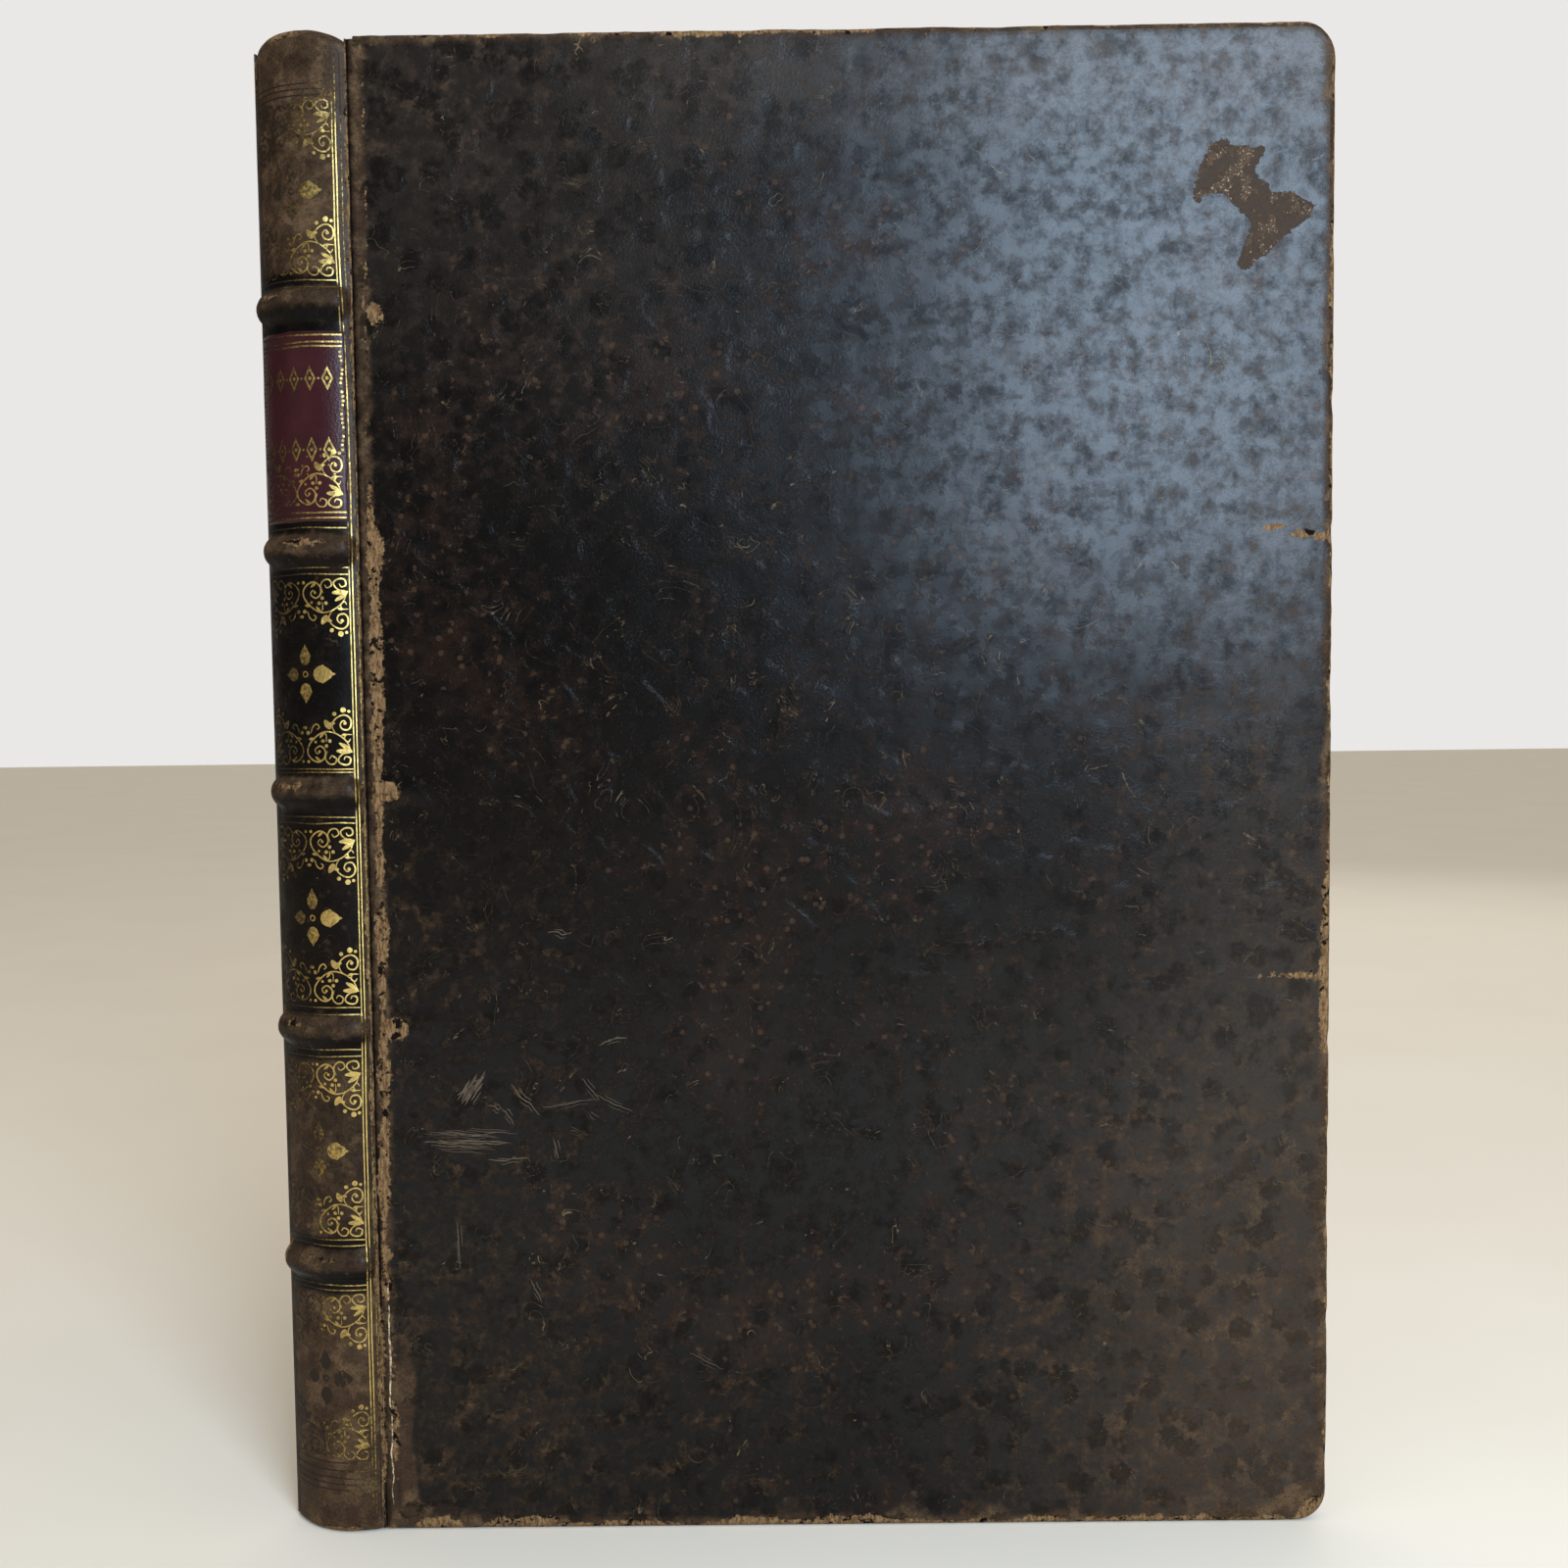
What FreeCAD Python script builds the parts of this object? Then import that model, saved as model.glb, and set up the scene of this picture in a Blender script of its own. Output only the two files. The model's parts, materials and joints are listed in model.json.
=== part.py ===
import FreeCAD, Part
import os
import Sketcher
from FreeCAD import Vector

# An antique folio in full leather, sewn on raised cords, standing on its tail with the front cover open.
# Book frame: X runs from the front hinge line to the fore-edge, Y from the front face to the back face
# of the closed book, and Z up from the tail edge. The block, the spine and the back cover are then
# turned about the front hinge line, and everything is moved so that the middle of the front cover's
# tail edge is the origin.

# Driving dimensions, in millimetres and degrees
SIZES = {
    "cover_height": 330,        # head to tail, over the leather
    "cover_width": 212,         # front hinge line to fore-edge, over the leather
    "cover_corner": 7,          # rounding of the two fore-edge corners, seen from the front
    "cover_leather": 0.8,       # leather on a board's outer face and edges
    "edge_round": 1.4,          # rounding of the leather over the board's outer edges
    "inner_round": 0.5,         # rounding of the leather over the board's inner edges
    "board_thickness": 3.5,     # pasteboard
    "board_setback": 1.5,       # hinge line to the board's spine edge
    "turn_in_width": 15,        # leather folded onto the board's inner face
    "turn_in_leather": 0.4,     # pared thickness of that fold
    "paste_thickness": 0.2,     # paper pasted inside the cover
    "paste_margin": 3,          # leather left showing round that paper
    "block_thickness": 14.4,    # all the leaves, pressed
    "block_square": 3,          # how far the covers stand past the leaves
    "fore_hollow": 2.5,         # depth of the hollow fore-edge
    "shoulder_run": 0.5,        # slope of the shoulder from its tip to the block's face
    "cover_clearance": 0.3,     # air between the pasted paper and the leaves
    "glue_gap": 0.05,           # film of paste between glued pieces
    "hinge_gap": 0.2,           # the cover's leather starts this far from the spine's
    "spine_angle": 45,          # half of the spine's arc
    "spine_leather": 1,         # leather over the back of the leaves
    "band_lowest": 61.5,        # tail edge to the middle of the lowest raised band
    "band_pitch": 52.9,         # from band to band
    "band_width": 7,
    "band_height": 2,
    "band_inset": 0.6,          # from the end of a band to the hinge line
    "cord_width": 5,            # sewing cord under each band, pressed flat
    "cord_crown": 3,            # flat top of the cord
    "slip_length": 14,          # cord end laced into the board
    "slip_thickness": 1,
    "cap_angle": 27,            # half of the arc that the rolled caps cover
    "cap_curl": 0.6,            # how far a cap curls in past the middle of its roll
    "head_rise": 1.3,           # how far the head cap stands above the covers
    "label_thickness": 0.3,
    "label_angle": 41,          # half of the arc that the label covers
    "label_margin": 2.5,        # from a band's foot to the label's edge
    "cover_opening": 70,        # how far the front cover stands open
}
BAND_COUNT = 5

# Sizes that follow from them
DERIVED = {
    "cover_thickness": "=Sizes.cover_leather + Sizes.board_thickness",
    "leaf_depth": "=Derived.cover_thickness + Sizes.paste_thickness + Sizes.cover_clearance",
    "book_thickness": "=Sizes.block_thickness + 2 * Derived.leaf_depth",
    "middle": "=Derived.book_thickness / 2",
    "spine_centre": "=Derived.middle / tan(Sizes.spine_angle)",
    "spine_radius": "=Derived.middle / sin(Sizes.spine_angle)",
    "lining_radius": "=Derived.spine_radius - Sizes.spine_leather",
    "block_radius": "=Derived.lining_radius - Sizes.glue_gap",
    "block_head": "=Sizes.cover_height - Sizes.block_square",
    "block_reach": "=Sizes.cover_width - Sizes.block_square",
    "band_bead": "=(Sizes.band_height ^ 2 + (Sizes.band_width / 2) ^ 2) / (2 * Sizes.band_height)",
    "band_ring": "=Derived.spine_radius + Sizes.band_height - Derived.band_bead",
    "band_end": "=asin((Sizes.band_width / 2 + Sizes.band_inset) / Derived.spine_radius) / 1 deg",
    "band_reach": "=Sizes.spine_angle - Derived.band_end",
    "head_roll": "=(Sizes.block_square + Sizes.head_rise - Sizes.spine_leather) / 2 - Sizes.glue_gap",
    "tail_roll": "=(Sizes.block_square - Sizes.spine_leather) / 2 - Sizes.glue_gap",
    "head_level": "=Derived.block_head + Sizes.glue_gap + Derived.head_roll",
    "tail_level": "=Sizes.block_square - Sizes.glue_gap - Derived.tail_roll",
    "head_ring": "=Derived.block_radius - Derived.head_roll",
    "tail_ring": "=Derived.block_radius - Derived.tail_roll",
    "label_height": "=Sizes.band_pitch - Sizes.band_width - 2 * Sizes.label_margin",
}

doc = FreeCAD.newDocument("LeatherBook")


def fill_sheet(name, cells):
    sheet = doc.addObject("Spreadsheet::Sheet", name)
    for row, (alias, content) in enumerate(cells.items(), start=1):
        sheet.set(f"A{row}", alias)
        sheet.set(f"B{row}", str(content))
        sheet.setAlias(f"B{row}", alias)
    doc.recompute()


fill_sheet("Sizes", SIZES)
fill_sheet("Derived", DERIVED)


def bind(item, **formulas):
    """Tie an object's sizes to the sheets."""
    for name, formula in formulas.items():
        item.setExpression(name, formula)


def move(item, across="0", along="0", up="0", turn="0"):
    """Place a construction solid in the book frame, turned about the upright axis."""
    item.setExpression("Placement.Base.x", across)
    item.setExpression("Placement.Base.y", along)
    item.setExpression("Placement.Base.z", up)
    item.setExpression("Placement.Rotation.Angle", turn)


def stand(item, turned, across="0", along="0", up="0"):
    """Set a finished piece in the part's frame, from its place in the book frame.

    A turned piece rides with the block, which stands half open behind the front cover.
    """
    turn = "Sizes.cover_opening" if turned else "0"
    move(
        item,
        f"({across}) * cos({turn}) - ({along}) * sin({turn}) - Sizes.cover_width / 2",
        f"({across}) * sin({turn}) + ({along}) * cos({turn}) - Derived.cover_thickness / 2",
        up,
        turn,
    )


def solid(kind, label, **formulas):
    item = doc.addObject(f"Part::{kind}", label)
    bind(item, **formulas)
    return item


def cut(label, base, tool):
    item = doc.addObject("Part::Cut", label)
    item.Base = base
    item.Tool = tool
    return item


def join(label, shapes):
    item = doc.addObject("Part::MultiFuse", label)
    item.Shapes = shapes
    return item


def origin_plane(body, role):
    return next(plane for plane in body.Origin.OriginFeatures if plane.Role == role)


def tip(sketch, side, point):
    """Tell which end of a drawn side, 1 or 2, lies at a point."""
    curve = sketch.Geometry[side]
    near = (curve.StartPoint - point).Length < (curve.EndPoint - point).Length
    return 1 if near else 2


def draw(body, label, plane, corners, arcs=None, level="0"):
    """Draw a closed outline on one of the body's own planes.

    corners holds a pair of formulas for each corner. arcs maps a side's number to the formula of its
    radius and to the side of the line, +1 left or -1 right, on which its centre lies.
    """
    arcs = arcs or {}
    sketch = body.newObject("Sketcher::SketchObject", label)
    sketch.AttachmentSupport = [(origin_plane(body, plane), "")]
    sketch.MapMode = "FlatFace"
    sketch.setExpression("AttachmentOffset.Base.z", level)
    points = [Vector(float(body.evalExpression(x)), float(body.evalExpression(y)), 0) for x, y in corners]
    ends = points[1:] + points[:1]
    for side, (start, end) in enumerate(zip(points, ends)):
        if side in arcs:
            formula, hand = arcs[side]
            radius = float(body.evalExpression(formula))
            half = (end - start) / 2
            toward = Vector(-half.y, half.x, 0).normalize() * hand
            height = (radius ** 2 - half.Length ** 2) ** 0.5
            crown = start + half + toward * (height - radius)
            first, last = (start, end) if hand > 0 else (end, start)
            sketch.addGeometry(Part.Arc(first, crown, last), False)
        else:
            sketch.addGeometry(Part.LineSegment(start, end), False)
    for side, (start, end) in enumerate(zip(points, ends)):
        near = tip(sketch, side, start)
        follower = (side + 1) % len(corners)
        sketch.addConstraint(
            Sketcher.Constraint("Coincident", side, 3 - near, follower, tip(sketch, follower, end))
        )
        for direction, value, formula in zip(("DistanceX", "DistanceY"), start, corners[side]):
            number = sketch.addConstraint(Sketcher.Constraint(direction, -1, 1, side, near, value))
            sketch.setExpression(f"Constraints[{number}]", formula)
        if side in arcs:
            radius = float(body.evalExpression(arcs[side][0]))
            number = sketch.addConstraint(Sketcher.Constraint("Radius", side, radius))
            sketch.setExpression(f"Constraints[{number}]", arcs[side][0])
    return sketch


def pad(body, sketch, length, reverse):
    feature = body.newObject("PartDesign::Pad", f"{sketch.Name}Pad")
    feature.Profile = sketch
    feature.Reversed = reverse
    bind(feature, Length=length)
    doc.recompute()
    return feature


def pocket(body, sketch, length, reverse):
    before = body.Shape.Volume
    feature = body.newObject("PartDesign::Pocket", f"{sketch.Name}Pocket")
    feature.Profile = sketch
    feature.Reversed = reverse
    bind(feature, Length=length)
    doc.recompute()
    if body.Shape.Volume >= before:
        raise ValueError(f"{feature.Name} cuts nothing")
    return feature


def new_body(label):
    return doc.addObject("PartDesign::Body", label)


def rounded_sheet(left, right, low, high, corner):
    """Outline of a board or its cover: square at the spine, rounded at the two fore-edge corners."""
    corners = [
        (left, low),
        (f"{right} - ({corner})", low),
        (right, f"{low} + {corner}"),
        (right, f"{high} - ({corner})"),
        (f"{right} - ({corner})", high),
        (left, high),
    ]
    return corners, {1: (corner, 1), 3: (corner, 1)}


def outer_edges(shape, level):
    """Edges that lie at one depth of the cover, apart from the one along the hinge line."""
    names = []
    for number, edge in enumerate(shape.Edges, start=1):
        flat = all(abs(vertex.Y - level) < 1e-6 for vertex in edge.Vertexes)
        at_hinge = all(abs(vertex.X) < 1e-6 for vertex in edge.Vertexes)
        if flat and not at_hinge:
            names.append(f"Edge{number}")
    return names


def round_edges(body, label, depth, radius):
    base = body.Tip
    feature = body.newObject("PartDesign::Fillet", label)
    feature.Base = (base, outer_edges(base.Shape, float(body.evalExpression(depth))))
    bind(feature, Radius=radius)
    doc.recompute()


class Cover:
    """One board with its leather, cord ends and pasted paper, on the front or the back of the book."""

    def __init__(self, side):
        self.side = side
        self.front = side == "front"

    def at(self, depth):
        """Turn a depth below the cover's outer face into a place across the book."""
        return depth if self.front else f"Derived.book_thickness - ({depth})"

    def low(self, depth, thickness):
        """The lower side of a layer that starts at a depth below the outer face."""
        return depth if self.front else f"Derived.book_thickness - ({depth}) - ({thickness})"

    def place(self, item, *where):
        stand(item, not self.front, *where)

    def board(self):
        """Pasteboard with a seat for the folded leather and grooves for the cord ends."""
        body = new_body(f"{self.side}_board")
        outline = rounded_sheet(
            "Sizes.board_setback",
            "Sizes.cover_width - Sizes.cover_leather",
            "Sizes.cover_leather",
            "Sizes.cover_height - Sizes.cover_leather",
            "Sizes.cover_corner - Sizes.cover_leather",
        )
        outer = f"-({self.at('Sizes.cover_leather')})"
        inner = f"-({self.at('Derived.cover_thickness')})"
        sheet = draw(body, f"{self.side}_board_outline", "XZ_Plane", *outline, level=outer)
        pad(body, sheet, "Sizes.board_thickness", reverse=self.front)
        fold = [
            ("Sizes.board_setback", "0"),
            ("Sizes.cover_width", "0"),
            ("Sizes.cover_width", "Sizes.cover_height"),
            ("Sizes.board_setback", "Sizes.cover_height"),
            ("Sizes.board_setback", "Sizes.cover_height - Sizes.turn_in_width"),
            ("Sizes.cover_width - Sizes.turn_in_width", "Sizes.cover_height - Sizes.turn_in_width"),
            ("Sizes.cover_width - Sizes.turn_in_width", "Sizes.turn_in_width"),
            ("Sizes.board_setback", "Sizes.turn_in_width"),
        ]
        seat = draw(body, f"{self.side}_fold_seat", "XZ_Plane", fold, level=inner)
        pocket(body, seat, "Sizes.turn_in_leather", reverse=self.front)
        low = "Sizes.band_lowest - Sizes.cord_width / 2"
        high = "Sizes.band_lowest + Sizes.cord_width / 2"
        end = "Sizes.board_setback + Sizes.slip_length"
        corners = [("Sizes.board_setback", low), (end, low), (end, high), ("Sizes.board_setback", high)]
        groove = draw(body, f"{self.side}_slip_groove", "XZ_Plane", corners, level=outer)
        first = pocket(body, groove, "Sizes.slip_thickness", reverse=not self.front)
        row = body.newObject("PartDesign::LinearPattern", f"{self.side}_slip_grooves")
        row.Originals = [first]
        row.Direction = (groove, ["V_Axis"])
        row.Occurrences = BAND_COUNT
        bind(row, Length=f"{BAND_COUNT - 1} * Sizes.band_pitch")
        body.Tip = row
        self.place(body)
        doc.recompute()
        return body

    def slip(self, number):
        """The end of a sewing cord, laced into the board's outer face under the leather."""
        item = solid(
            "Box",
            f"{self.side}_cord_slip_{number}",
            Length="Sizes.slip_length",
            Width="Sizes.slip_thickness",
            Height="Sizes.cord_width",
        )
        along = self.low("Sizes.cover_leather", "Sizes.slip_thickness")
        self.place(item, "Sizes.board_setback", along, f"{band_level(number)} - Sizes.cord_width / 2")
        return item

    def leather(self, board, slips):
        """Leather over the board's face and three edges, folded in, and cut on a slant at the hinge."""
        body = new_body(f"{self.side}_cover_form")
        outline = rounded_sheet("0", "Sizes.cover_width", "0", "Sizes.cover_height", "Sizes.cover_corner")
        sheet = draw(body, f"{self.side}_cover_outline", "XZ_Plane", *outline, level=f"-({self.at('0')})")
        pad(body, sheet, "Derived.cover_thickness", reverse=self.front)
        round_edges(body, f"{self.side}_outer_round", self.at("0"), "Sizes.edge_round")
        round_edges(body, f"{self.side}_inner_round", self.at("Derived.cover_thickness"), "Sizes.inner_round")
        leather = "Sizes.cover_leather"
        thick = "Derived.cover_thickness"
        slant = [
            ("0", self.at("0")),
            ("Sizes.hinge_gap", self.at("0")),
            ("Sizes.hinge_gap + Sizes.cover_leather", self.at(leather)),
            ("Sizes.board_setback", self.at(leather)),
            ("Sizes.board_setback", self.at(thick)),
            ("0", self.at(thick)),
        ]
        joint = draw(body, f"{self.side}_hinge_cut", "XY_Plane", slant)
        pocket(body, joint, "Sizes.cover_height", reverse=True)
        self.place(body)
        stuffing = join(f"{self.side}_cover_stuffing", [board] + slips)
        return cut(f"{self.side}_cover_leather", body, stuffing)

    def pasted_paper(self):
        """The plain leaf pasted over the board and the folded leather inside the cover."""
        item = solid(
            "Box",
            f"{self.side}_pastedown",
            Length="Sizes.cover_width - Sizes.paste_margin - Sizes.board_setback",
            Width="Sizes.paste_thickness",
            Height="Sizes.cover_height - 2 * Sizes.paste_margin",
        )
        along = self.low("Derived.cover_thickness", "Sizes.paste_thickness")
        self.place(item, "Sizes.board_setback", along, "Sizes.paste_margin")
        return item

    def build(self):
        board = self.board()
        slips = [self.slip(number) for number in range(1, BAND_COUNT + 1)]
        return [board, *slips, self.leather(board, slips), self.pasted_paper()]


def text_block():
    """All the leaves as one solid: rounded back with two shoulders, and a hollow fore-edge."""
    body = new_body("text_block")
    tip_x = "Derived.spine_centre - Derived.block_radius * cos(Sizes.spine_angle)"
    tip_y = "Derived.middle - Derived.block_radius * sin(Sizes.spine_angle)"
    corners = [
        (tip_x, tip_y),
        (f"{tip_x} + Sizes.shoulder_run", "Derived.leaf_depth"),
        ("Derived.block_reach", "Derived.leaf_depth"),
        ("Derived.block_reach", "Derived.book_thickness - Derived.leaf_depth"),
        (f"{tip_x} + Sizes.shoulder_run", "Derived.book_thickness - Derived.leaf_depth"),
        (tip_x, f"Derived.book_thickness - ({tip_y})"),
    ]
    hollow = "(Sizes.fore_hollow ^ 2 + (Sizes.block_thickness / 2) ^ 2) / (2 * Sizes.fore_hollow)"
    arcs = {2: (hollow, -1), 5: ("Derived.block_radius", 1)}
    section = draw(body, "leaf_section", "XY_Plane", corners, arcs, level="Sizes.block_square")
    pad(body, section, "Sizes.cover_height - 2 * Sizes.block_square", reverse=False)
    stand(body, turned=True)
    return body


def band_level(number):
    """Height of the middle of a raised band, counted from the tail."""
    return f"Sizes.band_lowest + {number - 1} * Sizes.band_pitch"


def sector(label, radius, height, level, angle):
    """A slice of a cylinder about the spine's centre line, open toward the fore-edge."""
    item = solid("Cylinder", label, Radius=radius, Height=height, Angle=f"2 * ({angle})")
    move(item, "Derived.spine_centre", "Derived.middle", level, f"180 - ({angle})")
    return item


# Section angles of a rib that is whole or cut level: first its bend's, which run downward, then its domes'
WHOLE = (-180, 180, -90, 90)
UPPER = (-180, 0, 0, 90)
LOWER = (0, 180, -90, 0)


def roll(label, ring, radius, level, angle, section=WHOLE):
    """A round rib that follows the spine's arc, with a dome at each end."""
    bend = solid("Torus", f"{label}_bend", Radius1=ring, Radius2=radius, Angle3=f"2 * ({angle})")
    bend.Angle1 = section[0]
    bend.Angle2 = section[1]
    move(bend, "Derived.spine_centre", "Derived.middle", level, f"180 - ({angle})")
    parts = [bend]
    for side, name in ((-1, "front"), (1, "back")):
        dome = solid("Sphere", f"{label}_{name}_dome", Radius=radius)
        dome.Angle1 = section[2]
        dome.Angle2 = section[3]
        across = f"Derived.spine_centre - {ring} * cos({angle})"
        along = f"Derived.middle + {side} * {ring} * sin({angle})"
        move(dome, across, along, level)
        parts.append(dome)
    return join(label, parts)


def hoop(label, corners, angle):
    """A rib that follows the spine's arc, with the section given by distances from its centre line."""
    body = new_body(label)
    section = draw(body, f"{label}_section", "XZ_Plane", corners)
    turn = body.newObject("PartDesign::Revolution", f"{label}_turn")
    turn.Profile = section
    turn.ReferenceAxis = (section, ["V_Axis"])
    turn.Midplane = True
    bind(turn, Angle=f"2 * ({angle})")
    doc.recompute()
    return body


def centre_on_spine(body):
    """Place a hoop that is only a tool for cutting."""
    move(body, "Derived.spine_centre", "Derived.middle", "0", "180")
    return body


def cord_section(level, room):
    """The pressed cord's section on the back of the leaves, or its bed when room is left round it."""
    foot = "Derived.lining_radius"
    crown = f"{foot} + Sizes.band_height - Sizes.glue_gap + {room}"
    half = f"(Sizes.cord_width / 2 + {room})"
    flat = f"(Sizes.cord_crown / 2 + {room})"
    return [
        (foot, f"{level} - {half}"),
        (crown, f"{level} - {flat}"),
        (crown, f"{level} + {flat}"),
        (foot, f"{level} + {half}"),
    ]


def eight_sided(ring, level, half):
    """A section with eight equal sides round the middle of an endband."""
    side = f"({half}) * tan(22.5)"
    return [
        (f"{ring} - {side}", f"{level} - ({half})"),
        (f"{ring} + {side}", f"{level} - ({half})"),
        (f"{ring} + {half}", f"{level} - {side}"),
        (f"{ring} + {half}", f"{level} + {side}"),
        (f"{ring} + {side}", f"{level} + {half}"),
        (f"{ring} - {side}", f"{level} + {half}"),
        (f"{ring} - ({half})", f"{level} + {side}"),
        (f"{ring} - ({half})", f"{level} - {side}"),
    ]


def stand_on_spine(body):
    """Set a finished hoop in the part's frame, facing out of the turned spine."""
    stand(body, True, "Derived.spine_centre", "Derived.middle")
    body.setExpression("Placement.Rotation.Angle", "180 + Sizes.cover_opening")
    return body


def sewing_cord(number):
    """A cord across the back of the leaves, under a raised band."""
    return stand_on_spine(
        hoop(f"sewing_cord_{number}", cord_section(band_level(number), "0"), "Derived.band_reach")
    )


def endband(end):
    """The sewn band at the head or tail of the back, under its cap."""
    section = eight_sided(f"Derived.{end}_ring", f"Derived.{end}_level", f"Derived.{end}_roll")
    return stand_on_spine(hoop(f"{end}_endband", section, "Sizes.cap_angle"))


def spine_leather():
    """Leather over the rounded back, raised over the cords and rolled into a cap at head and tail."""
    height = "Derived.head_level - Derived.tail_level"
    wall = sector("spine_wall", "Derived.spine_radius", height, "Derived.tail_level", "Sizes.spine_angle")
    skin = [wall]
    hollows = [sector("spine_bore", "Derived.lining_radius", height, "Derived.tail_level", "180")]
    for number in range(1, BAND_COUNT + 1):
        level = band_level(number)
        skin.append(
            roll(f"band_{number}", "Derived.band_ring", "Derived.band_bead", level, "Derived.band_reach")
        )
        bed = hoop(f"cord_bed_{number}", cord_section(level, "Sizes.glue_gap"), "Derived.band_reach")
        hollows.append(centre_on_spine(bed))
    for end, section in (("head", UPPER), ("tail", LOWER)):
        ring = f"Derived.{end}_ring"
        level = f"Derived.{end}_level"
        inner = f"Derived.{end}_roll + Sizes.glue_gap"
        outer = f"{inner} + Sizes.spine_leather"
        skin.append(roll(f"{end}_cap", ring, outer, level, "Sizes.cap_angle", section))
        bed = hoop(f"{end}_cap_bed", eight_sided(ring, level, inner), "Sizes.cap_angle")
        hollows.append(centre_on_spine(bed))
        depth = f"2 * ({outer})"
        foot = level if end == "head" else f"{level} - {depth}"
        hollows.append(sector(f"{end}_cap_mouth", f"{ring} - Sizes.cap_curl", depth, foot, "180"))
    whole = join("spine_skin", skin)
    wedge = sector("spine_wedge", "Derived.spine_radius + 2 * Sizes.band_height",
                   "Sizes.cover_height + Sizes.head_rise", "0", "Sizes.spine_angle")
    trimmed = doc.addObject("Part::Common", "spine_trimmed")
    trimmed.Base = whole
    trimmed.Tool = wedge
    item = cut("spine_leather", trimmed, join("spine_hollows", hollows))
    stand(item, turned=True)
    return item


def title_label():
    """A thin leather label pasted between the two upper bands."""
    level = f"{band_level(BAND_COUNT - 1)} + Sizes.band_width / 2 + Sizes.label_margin"
    back = "Derived.spine_radius + Sizes.glue_gap"
    face = sector("label_face", f"{back} + Sizes.label_thickness", "Derived.label_height", level,
                  "Sizes.label_angle")
    bed = sector("label_bed", back, "Derived.label_height", level, "180")
    item = cut("title_label", face, bed)
    stand(item, turned=True)
    return item


nodes = [text_block(), spine_leather(), title_label(), endband("head"), endband("tail")]
nodes += [sewing_cord(number) for number in range(1, BAND_COUNT + 1)]
nodes += Cover("front").build() + Cover("back").build()
doc.recompute()

for item in doc.Objects:
    if "Invalid" in item.State or "Error" in item.State:
        raise RuntimeError(f"{item.Label} failed: {item.State}")
for item in nodes:
    if item.Shape.isNull() or not item.Shape.isValid():
        raise RuntimeError(f"{item.Label} has no valid shape")

os.makedirs("parts", exist_ok=True)
for item in nodes:
    item.Shape.exportStep(f"parts/{item.Label}.step")
    box = item.Shape.BoundBox
    print(f"{item.Label}: {len(item.Shape.Solids)} solid, {item.Shape.Volume:.1f} mm3, "
          f"z {box.ZMin:.2f} to {box.ZMax:.2f}")
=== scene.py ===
"""Looks of an antique leather book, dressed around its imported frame.

Book frame, in millimetres: x runs from the front crease to the fore-edge, y from the front face to the
back face of the closed book, and z up from the tail. Covers use u from the crease, z, and a depth below
their outer face. The spine uses s along its arc from the front crease, z, and a lift off its surface.
"""

import json
from math import cos, pi, radians, sin

import bmesh
import bpy
import numpy as np
from mathutils import Matrix, Vector

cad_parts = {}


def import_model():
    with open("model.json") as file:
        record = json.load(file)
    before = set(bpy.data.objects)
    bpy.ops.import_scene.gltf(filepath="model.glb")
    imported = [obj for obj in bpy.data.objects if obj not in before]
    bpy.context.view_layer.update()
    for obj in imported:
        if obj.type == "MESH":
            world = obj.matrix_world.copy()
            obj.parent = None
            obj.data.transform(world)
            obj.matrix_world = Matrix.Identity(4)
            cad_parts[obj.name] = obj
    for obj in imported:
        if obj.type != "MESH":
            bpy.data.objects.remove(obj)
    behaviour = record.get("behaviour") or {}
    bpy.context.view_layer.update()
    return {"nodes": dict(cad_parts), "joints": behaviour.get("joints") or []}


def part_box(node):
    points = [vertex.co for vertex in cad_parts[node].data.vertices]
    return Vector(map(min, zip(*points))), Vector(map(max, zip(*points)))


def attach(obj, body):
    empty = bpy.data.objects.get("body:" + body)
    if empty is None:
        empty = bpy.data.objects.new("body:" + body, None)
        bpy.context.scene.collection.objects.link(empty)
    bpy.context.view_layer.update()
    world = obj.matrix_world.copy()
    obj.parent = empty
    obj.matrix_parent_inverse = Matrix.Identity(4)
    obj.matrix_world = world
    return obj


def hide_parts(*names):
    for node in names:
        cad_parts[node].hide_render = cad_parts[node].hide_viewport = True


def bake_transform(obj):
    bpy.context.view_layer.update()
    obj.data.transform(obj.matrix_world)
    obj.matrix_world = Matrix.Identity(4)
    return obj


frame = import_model()

MM = 0.001

# Sizes read from the frame
joints = {joint["name"]: joint for joint in frame["joints"]}
OPENING = radians(max(joints["front_hinge"]["range_deg"]))
FRONT_CREASE = np.array(joints["front_hinge"]["pos_m"][:2]) / MM
BACK_CREASE = np.array(joints["back_hinge"]["pos_m"][:2]) / MM
ACROSS = np.array([cos(OPENING), sin(OPENING)])
THROUGH = np.array([-sin(OPENING), cos(OPENING)])


def node_size(node):
    low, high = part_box(node)
    return (high - low) / MM


def node_middle(node):
    low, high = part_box(node)
    return (high + low) / 2 / MM


COVER_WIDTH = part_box("front_cover_leather")[1].x / MM - FRONT_CREASE[0]
COVER_HEIGHT = node_size("front_cover_leather").z
COVER_THICKNESS = node_size("front_cover_leather").y
BOOK_THICKNESS = float(np.linalg.norm(BACK_CREASE - FRONT_CREASE))
MIDDLE = BOOK_THICKNESS / 2
BLOCK_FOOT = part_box("text_block")[0].z / MM
BLOCK_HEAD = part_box("text_block")[1].z / MM
HEAD_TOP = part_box("spine_leather")[1].z / MM
BAND_LEVELS = [node_middle(f"sewing_cord_{number}").z for number in range(1, 6)]

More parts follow.
